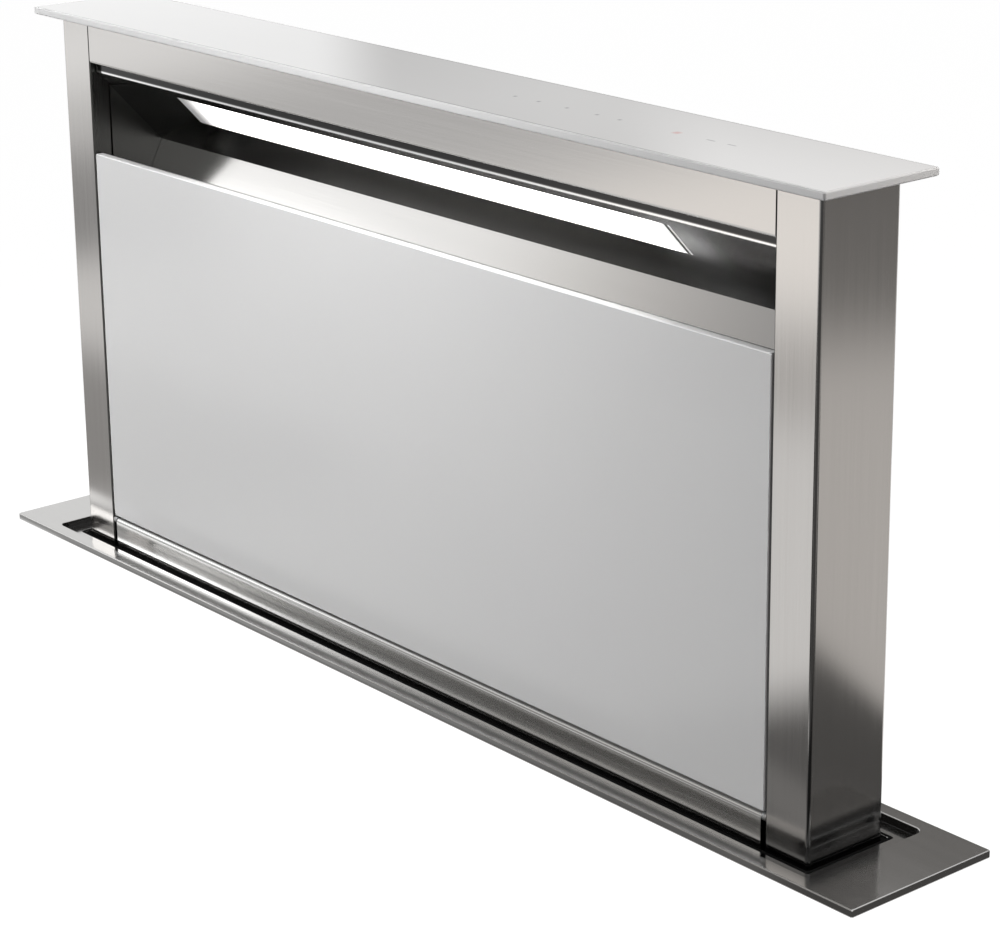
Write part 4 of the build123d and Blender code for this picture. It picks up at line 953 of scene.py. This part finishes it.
area_lamp("key_left", (-1.2, -1.15, 1.05), (-0.1, 0, 0.2), (0.8, 0.8), 27.5)
area_lamp("front_fill", (0.05, -0.45, 0.50), (0.05, -0.03, 0.25), (0.2, 0.1), 0.36)
area_lamp("slot_glow", (-0.03, -0.21, 0.41), (-0.03, -0.031, 0.28), (0.30, 0.04), 0.12)
area_lamp("cap_left", (-0.66, 0.35, 0.95), (-0.30, 0, 0.4), (0.4, 0.4), 2.7)
area_lamp("cap_right", (0.95, 0.45, 0.95), (0.42, 0, 0.4), (0.5, 0.5), 8.0, (1, 0.97, 0.94))

# %% [markdown]
# ## Worn edges
# Handling rubs the corners of a part first. The Bevel node gives the normal that a rounded corner would
# have; where it leans away from the true normal there is an edge. Noise breaks the line of wear up.

# %% Edge group
def worn_edge(tree, given):
    """1 at the edges of a piece, in patches."""
    soft = put(tree, "Bevel", {"Radius": given["Width"]}, samples=4).outputs[0]
    true = put(tree, "NewGeometry").outputs["Normal"]
    lean = put(tree, "VectorMath", {0: soft, 1: true}, operation="DOT_PRODUCT").outputs["Value"]
    spots = noise(tree, object_place(tree), given["Scale"], 4.0)
    return {"Mask": product(tree, ramp(tree, lean, 0.98, 0.86), ramp(tree, spots, 0.35, 0.60))}


edge_group = new_group(worn_edge, {"Width": 0.0012, "Scale": 160.0})

# %% [markdown]
# ## Brushed steel
# Brushing leaves fine parallel scratches. A noise that is stretched along the grain gives streaks in
# colour and roughness and a small bump; a second, broader noise keeps a large face from looking even.

# %% Grain group
def brushed_grain(tree, given):
    """A fine and a broad noise on coordinates that are stretched along the grain."""
    place = vector_of(tree, "MULTIPLY", object_place(tree), given["Stretch"])
    streaks = weigh(tree, noise(tree, place, 1600.0, 3.0, Roughness=0.6), noise(tree, place, 130.0), 0.65)
    return {"Colour": vary(tree, given["Metal"], streaks, given["Streaks"]),
            "Roughness": ramp(tree, streaks, 0.3, 0.7, given["Rough low"], given["Rough high"]),
            "Height": streaks}


grain_group = new_group(brushed_grain, {"Stretch": (1, 1, 1), "Metal": grey(0.6), "Streaks": 0.08,
                                        "Rough low": 0.2, "Rough high": 0.3})

# %% Steel finishes
def steel_finish(name, stretch, metal, streaks=0.16, rough=(0.13, 0.16), bump=0.004, marks=(), glow=(),
                 worn=False):
    """Metal with a grain. Marks lay painted shade, highlights and reflections on its colour, glow is painted
    lamp light, an emission where a lamp close by would light it, and worn metal has pale edges."""
    material, tree = new_material(name)
    grain = use_group(tree, grain_group, Stretch=stretch, Metal=metal, Streaks=streaks, Rough_low=rough[0],
                      Rough_high=rough[1])
    colour = marked(tree, grain["Colour"], marks)
    if worn:
        edge = use_group(tree, edge_group, Width=0.0005, Scale=400.0)["Mask"]
        colour = blend(tree, edge, colour, grey(0.75))
    sockets = {"Base Color": colour, "Metallic": 1.0, "Roughness": grain["Roughness"],
               "Normal": relief(tree, bump, grain["Height"])}
    if glow:
        sockets.update({"Emission Color": marked(tree, grey(0), glow), "Emission Strength": 1.0})
    return principled(material, sockets)


grain_up, grain_along = (1.0, 1.0, 0.006), (0.006, 1.0, 1.0)
steel_colour = (0.655, 0.640, 0.625, 1)
# Painted light on the posts: painted shade at the foot of the right post's side face and front face, and a
# painted dark reflection along each post's front bend.
post_painted_shade_and_reflection = [((0.381, 0, 0), (0.0015, 9, 0.024), 0.12, grey(0.20)),
              ((0.36, -0.031, 0), (0.03, 0.002, 0.017), 0.5, grey(0.22))]
post_painted_shade_and_reflection += [((side * 0.3795, -0.0305, 0.2), (0.0011, 0.0011, 9), 0.4, grey(0.07)) for side in (-1, 1)]
steel_up = steel_finish("brushed_steel_upright", grain_up, steel_colour, marks=post_painted_shade_and_reflection)
steel_along = steel_finish("brushed_steel_lengthwise", grain_along, steel_colour)
# The two dark lines are painted shade in the recess's back wall and its left end wall.
steel_flange = steel_finish("brushed_steel_flange", grain_along, (0.562, 0.557, 0.548, 1), marks=[
    ((0, 0.0468, 0.002), (0.418, 0.0010, 0.0026), 0.05, grey(0.05)),
    ((-0.3968, 0, 0.002), (0.0010, 0.052, 0.0026), 0.08, grey(0.05))])
# A painted highlight brightens the rail's left part just above the flange.
steel_rail = steel_finish("rail_steel", grain_along, (0.64, 0.64, 0.635, 1), 0.08, (0.13, 0.15), 0.001,
                          marks=[((-0.27, 0, 0.003), (0.08, 9, 0.008), 0.9, grey(1.0))])
# The soffit carries painted light: a pool of lens light and an emitted glow near the lens's right end,
# painted shade on its front flange, and a painted highlight along the fold below it.
steel_slot = steel_finish("slot_steel", grain_along, (0.42, 0.41, 0.40, 1), 0.08, marks=[
    ((0.258, 0, 0.34), (0.030, 9, 9), 0.9, grey(0.90)),
    ((0, -0.026, 0.3630), (9, 0.002, 0.0036), 0.2, grey(0.05)),
    ((0, -0.0256, 0.3583), (9, 0.0014, 0.0009), 0.3, grey(0.95)),
], glow=[((0.252, 0, 0.343), (0.018, 9, 0.009), 1.0, grey(0.20))])
# The cheeks and the posts' inner lips are the same steel, painted near black as painted shade inside the
# slot.
cheek_painted_shade = steel_finish("steel_in_painted_shade", grain_up, (0.085, 0.085, 0.082, 1), 0.04, (0.27, 0.29), 0.001)
# The baffle's right half is painted darker, a painted dark reflection.
steel_baffle = steel_finish("baffle_steel", grain_along, (0.78, 0.77, 0.755, 1), 0.10, (0.12, 0.14), 0.002,
                            marks=[((0.40, 0, 0.3), (0.21, 9, 9), 0.9, grey(0.30))])

# %% [markdown]
# ## Turned and drawn metal
# Shafts, screws and channels keep fine lines from the tool or the die. The grain group serves again,
# without stretch for tumbled screws and stretched along X for what is drawn or turned along X.

# %% Turned and drawn finishes
plain_steel = steel_finish("zinc_plated_steel", (1, 1, 1), (0.58, 0.58, 0.57, 1), 0.35, (0.24, 0.36),
                           0.05, worn=True)
turned_steel = steel_finish("turned_steel", (1, 0.02, 0.02), (0.62, 0.61, 0.60, 1), 0.3, (0.14, 0.24),
                            0.05, worn=True)
drawn_aluminium = steel_finish("drawn_aluminium", grain_along, (0.78, 0.78, 0.79, 1), 0.25, (0.26, 0.38),
                               0.05, worn=True)

# %% [markdown]
# ## White glass
# The glass is painted white behind, so light goes a little way in. The face is a smooth white with a clear
# gloss, and the ground edge is greyer and dull; the front plate's edges are painted paler instead, as a
# painted highlight.

# %% Glass finishes
def glass_finish(name, tone, rough, marks=()):
    """White glass whose tone drifts by a hundredth."""
    material, tree = new_material(name)
    clouds = ramp(tree, noise(tree, object_place(tree), 9.0), 0.3, 0.7)
    shade = blend(tree, clouds, grey(tone), grey(tone * 0.99))
    return principled(material, {"Base Color": marked(tree, shade, marks), "Roughness": rough, "IOR": 1.5})


ink, dot, dash, cap_z = (0.45, 0.45, 0.46, 1), (0.0013, 0.0013, 1), (0.0034, 0.0008, 1), 0.401
touch_print_and_painted_reflection = [((x * mm, 0, cap_z), dot, 0.3, ink) for x in (90, 112, 138, 165, 185)]
touch_print_and_painted_reflection += [((x * mm, 0, cap_z), dash, 0.3, ink) for x in (262, 279)]
touch_print_and_painted_reflection.append(((0.234, 0, cap_z), (0.0024, 0.0024, 1), 0.6, (0.66, 0.44, 0.43, 1)))
# The two thin grey lines beside the cap's long chamfers are a painted dark reflection; the dots, dashes and
# red dot are print.
touch_print_and_painted_reflection += [((0, side * 0.0432, cap_z), (0.3935, 0.0007, 1), 0.3, grey(0.50)) for side in (-1, 1)]
glass_face = glass_finish("white_glass_face", 0.70, 0.08)
cap_face = glass_finish("white_glass_cap_face", 0.70, 0.08, touch_print_and_painted_reflection)
glass_edge = glass_finish("white_glass_ground_edge", 0.63, 0.35)
# the front plate's edges are paler than its face: a painted highlight
front_edge_painted_highlight = glass_finish("white_glass_edge_painted_highlight", 0.88, 0.3)

# %% [markdown]
# ## Lamp lens
# The lens is opal plastic that glows from end to end. It dims towards its ends, and close to its right
# end a dark gap parts it from its end piece.

# %% Lens finish
gap_x, lens_left, lens_right = 0.2464, (-0.246, -0.204), (0.2470, 0.2300)
lens_finish, lens = new_material("opal_lens")
lens_x = axes_of(lens, object_place(lens))["X"]
from_gap = math_of(lens, "ABSOLUTE", math_of(lens, "SUBTRACT", lens_x, gap_x))
lens_whole = ramp(lens, from_gap, 0.0011, 0.0015)
lens_ends = product(lens, ramp(lens, lens_x, *lens_left), ramp(lens, lens_x, *lens_right, 0.10, 1.0))
lens_light = product(lens, lens_ends, lens_whole)
principled(lens_finish, {
    "Base Color": blend(lens, lens_whole, grey(0.01), grey(0.8)), "Roughness": 0.35,
    "Emission Color": blend(lens, lens_light, grey(0.01), (1, 0.985, 0.96, 1)), "Emission Strength": 4.0})

# %% [markdown]
# ## Galvanised sheet
# The housing and the blower's box are zinc-coated sheet. Zinc freezes in crystals of about a
# centimetre, each with its own tone and gloss. A Voronoi texture gives one random value for each cell,
# and a little noise bends the cells' edges.

# %% Galvanised finish
def zinc_spangle(tree, given):
    """The tone of each crystal, with fine needles over it."""
    place = object_place(tree)
    ripple = put(tree, "TexNoise", {"Vector": place, "Scale": 140.0, "Detail": 3.0}).outputs["Color"]
    bent = vector_of(tree, "ADD", place, vector_of(tree, "MULTIPLY", ripple, (0.006, 0.006, 0.006)))
    crystals = put(tree, "TexVoronoi", {"Vector": bent, "Scale": given["Scale"]}).outputs["Color"]
    tone = weigh(tree, put(tree, "SeparateColor", {0: crystals}).outputs[0], noise(tree, bent, 900.0), 0.75)
    return {"Colour": vary(tree, given["Metal"], tone, given["Contrast"]), "Tone": tone}


spangle_group = new_group(zinc_spangle, {"Metal": grey(0.5), "Scale": 95.0, "Contrast": 0.14})
zinc_sheet, zinc = new_material("zinc_sheet")
spangle = use_group(zinc, spangle_group, Metal=(0.53, 0.545, 0.555, 1))
zinc_wear = use_group(zinc, edge_group, Width=0.001)["Mask"]
principled(zinc_sheet, {
    "Base Color": blend(zinc, zinc_wear, spangle["Colour"], (0.72, 0.73, 0.74, 1)), "Metallic": 1.0,
    "Roughness": ramp(zinc, spangle["Tone"], 0.2, 0.8, 0.30, 0.44, smooth=False)})

# %% [markdown]
# ## Moulded and cast parts
# Plastic, rubber, foam and cast metal differ in colour, gloss and grain, but all of them have a fine
# texture from the mould and a slow change of tone. One group gives both, and each finish sets them.

# %% Mould group
def mould_grain(tree, given):
    """The fine grain of the mould, and a tone in which a broad noise joins it."""
    place = object_place(tree)
    fine = noise(tree, place, given["Grain scale"])
    tone = weigh(tree, fine, noise(tree, place, 14.0, 4.0), 0.5)
    return {"Colour": vary(tree, given["Paint"], tone, given["Mottle"]), "Height": fine}


mould_group = new_group(mould_grain, {"Paint": grey(0.1), "Grain scale": 1500.0, "Mottle": 0.15})

# %% Moulded and cast finishes
def moulded_finish(name, paint, rough, grain=1500.0, mottle=0.3, bump=0.2, edge=None, metal=0.0, gloss=0.5):
    """Plastic, rubber or cast metal; edge is the colour that its rubbed corners show."""
    material, tree = new_material(name)
    mould = use_group(tree, mould_group, Paint=paint, Grain_scale=grain, Mottle=mottle)
    colour, height = mould["Colour"], mould["Height"]
    if edge:
        colour = blend(tree, use_group(tree, edge_group)["Mask"], colour, edge)
    return principled(material, {
        "Base Color": colour, "Metallic": metal, "Specular IOR Level": gloss,
        "Roughness": ramp(tree, height, 0.3, 0.7, rough - 0.05, rough + 0.05, smooth=False),
        "Normal": relief(tree, bump, height)})


black_plastic = moulded_finish("moulded_black_plastic", (0.030, 0.030, 0.032, 1), 0.46,
                               edge=(0.055, 0.055, 0.057, 1))
white_plastic = moulded_finish("moulded_white_plastic", (0.70, 0.70, 0.68, 1), 0.42, mottle=0.08, bump=0.1)
black_rubber = moulded_finish("belt_rubber", grey(0.022), 0.68, 900.0, 0.6, 0.35)
soot_black = moulded_finish("seal_rubber", grey(0.004), 0.9, 900.0, 0.6, 0.2, gloss=0.08)
gasket_foam = moulded_finish("closed_cell_foam", (0.045, 0.045, 0.047, 1), 0.85, 700.0, 0.9, 0.9)
cast_metal = moulded_finish("painted_casting", (0.060, 0.062, 0.066, 1), 0.50, 450.0, 0.4, 0.6,
                            edge=(0.20, 0.20, 0.21, 1), metal=0.35)

# %% [markdown]
# ## Grease filter mesh
# A filter is a stack of expanded aluminium sheets: diamond openings between thin strands, with the next
# sheet, shifted by half a diamond, showing through. Two crossing sets of waves give the strands. The sheet
# behind is painted darker and the openings near black, as painted shade.

# %% Filter mesh
def diamond_strands(tree, given):
    """1 near the zeros of sin(pi (x + z)) and sin(pi (x - z)), where x and z count diamonds."""
    shifted = vector_of(tree, "ADD", object_place(tree), given["Shift"])
    x, _, z = axes_of(tree, vector_of(tree, "DIVIDE", shifted, given["Pitch"]))
    strands = []
    for operation in ("ADD", "SUBTRACT"):
        wave = math_of(tree, "SINE", product(tree, math_of(tree, operation, x, z), pi))
        strands.append(ramp(tree, math_of(tree, "ABSOLUTE", wave), 0.55, 0.22))
    return {"Strand": math_of(tree, "MAXIMUM", *strands)}


strand_group = new_group(diamond_strands, {"Shift": (0, 0, 0), "Pitch": (0.0075, 1, 0.0042)})
filter_mesh, mesh_tree = new_material("expanded_aluminium")
near = use_group(mesh_tree, strand_group)["Strand"]
deep = use_group(mesh_tree, strand_group, Shift=(0.00375, 0, 0.001))["Strand"]
# painted shade: the sheet behind is darker and the openings near black
below = blend(mesh_tree, deep, grey(0.02), grey(0.20))
mesh_height = math_of(mesh_tree, "ADD", near, product(mesh_tree, deep, 0.4))
principled(filter_mesh, {
    "Base Color": blend(mesh_tree, near, below, (0.72, 0.72, 0.73, 1)),
    "Metallic": 1.0, "Roughness": ramp(mesh_tree, near, 0.0, 1.0, 0.65, 0.32),
    "Normal": relief(mesh_tree, 0.8, mesh_height, 0.0008)})

# %% [markdown]
# ## Circuit boards
# A board is green lacquer over copper tracks, with rows of tinned holes. The tracks are the borders of
# square Voronoi cells, a shade paler than the lacquer, and the holes are dots on a 2.54 mm grid.

# %% Circuit board
hole_pitch = 2.54 * mm
circuit_board, board = new_material("green_circuit_board")
board_place = object_place(board)
tracks = put(board, "TexVoronoi", {"Vector": board_place, "Scale": 160.0, "Randomness": 0.7},
             distance="CHEBYCHEV", feature="F2")
lacquer = blend(board, ramp(board, tracks.outputs["Distance"], 0.58, 0.62), (0.008, 0.060, 0.022, 1),
                (0.020, 0.115, 0.045, 1))
hole_cell = vector_of(board, "DIVIDE", board_place, (hole_pitch, hole_pitch, hole_pitch))
cell_x, _, cell_z = axes_of(board, vector_of(board, "MODULO", hole_cell, (1, 1, 1)))
from_centre = [math_of(board, "SUBTRACT", math_of(board, "ABSOLUTE", axis), 0.5)
               for axis in (cell_x, cell_z)]
squared = math_of(board, "ADD", *[product(board, offset, offset) for offset in from_centre])
in_rows = ramp(board, noise(board, board_place, 45.0), 0.50, 0.54)
hole_mask = product(board, ramp(board, squared, 0.045, 0.03), in_rows)
principled(circuit_board, {
    "Base Color": blend(board, hole_mask, lacquer, (0.62, 0.61, 0.57, 1)), "Metallic": hole_mask,
    "Roughness": ramp(board, hole_mask, 0, 1, 0.38, 0.28)})

# %% [markdown]
# ## Which part gets which finish
# The record names one material slot for each part. A table turns slots into finishes, and a few parts get a
# finish of their own, such as the soffit with its painted light, the cheeks in painted shade and the long
# shaft.

# %% Give the finishes
slot_finish = {
    "brushed_steel": steel_along, "polished_steel": steel_baffle, "galvanised_sheet": zinc_sheet,
    "white_glass": glass_face, "opal_plastic": lens_finish, "black_plastic": black_plastic,
    "white_plastic": white_plastic, "black_rubber": black_rubber, "gasket_foam": gasket_foam,
    "plain_steel": plain_steel, "dark_casting": cast_metal, "plain_aluminium": drawn_aluminium,
    "filter_mesh": filter_mesh, "circuit_board": circuit_board,
}
own_finish = {"slot_seal": soot_black, "soffit": steel_slot, "side_liners": cheek_painted_shade,
              "drive_shaft": turned_steel, "rear_panel": steel_up, "panel_frame": zinc_sheet}
for name, node in nodes.items():
    node.data.materials[0] = own_finish.get(name, slot_finish[node.data.materials[0].name])

piece_finishes = {
    flange: [steel_flange], seal_lip: [soot_black], fascia: [steel_along], rail: [steel_rail],
    shell: [zinc_sheet], face: [zinc_sheet], front_ledge: [zinc_sheet], blower_cover: [zinc_sheet],
    control_cover: [black_plastic], collar: [black_plastic], cap: [cap_face, glass_edge],
    front: [glass_face, front_edge_painted_highlight], **{post: [steel_up, cheek_painted_shade] for post in posts},
    **{screws: [plain_steel] for screws in screw_pieces},
}
for piece, finishes in piece_finishes.items():
    for finish in finishes:
        piece.data.materials.append(finish)


def second_finish(piece, test):
    """Gives a piece's second finish to the faces that pass the test."""
    chosen = np.array([test(polygon) for polygon in piece.data.polygons], np.int32)
    piece.data.polygons.foreach_set("material_index", chosen)


# the posts' inner lips get the cheeks' painted shade
for post in posts:
    second_finish(post, lambda polygon: abs(polygon.center.x) < (post_inner + tower_sheet) * mm)
for plate in (cap, front):
    second_finish(plate, lambda polygon: len(polygon.vertices) == 4)
print("finishes given to", len(nodes), "nodes and", len(piece_finishes), "pieces")
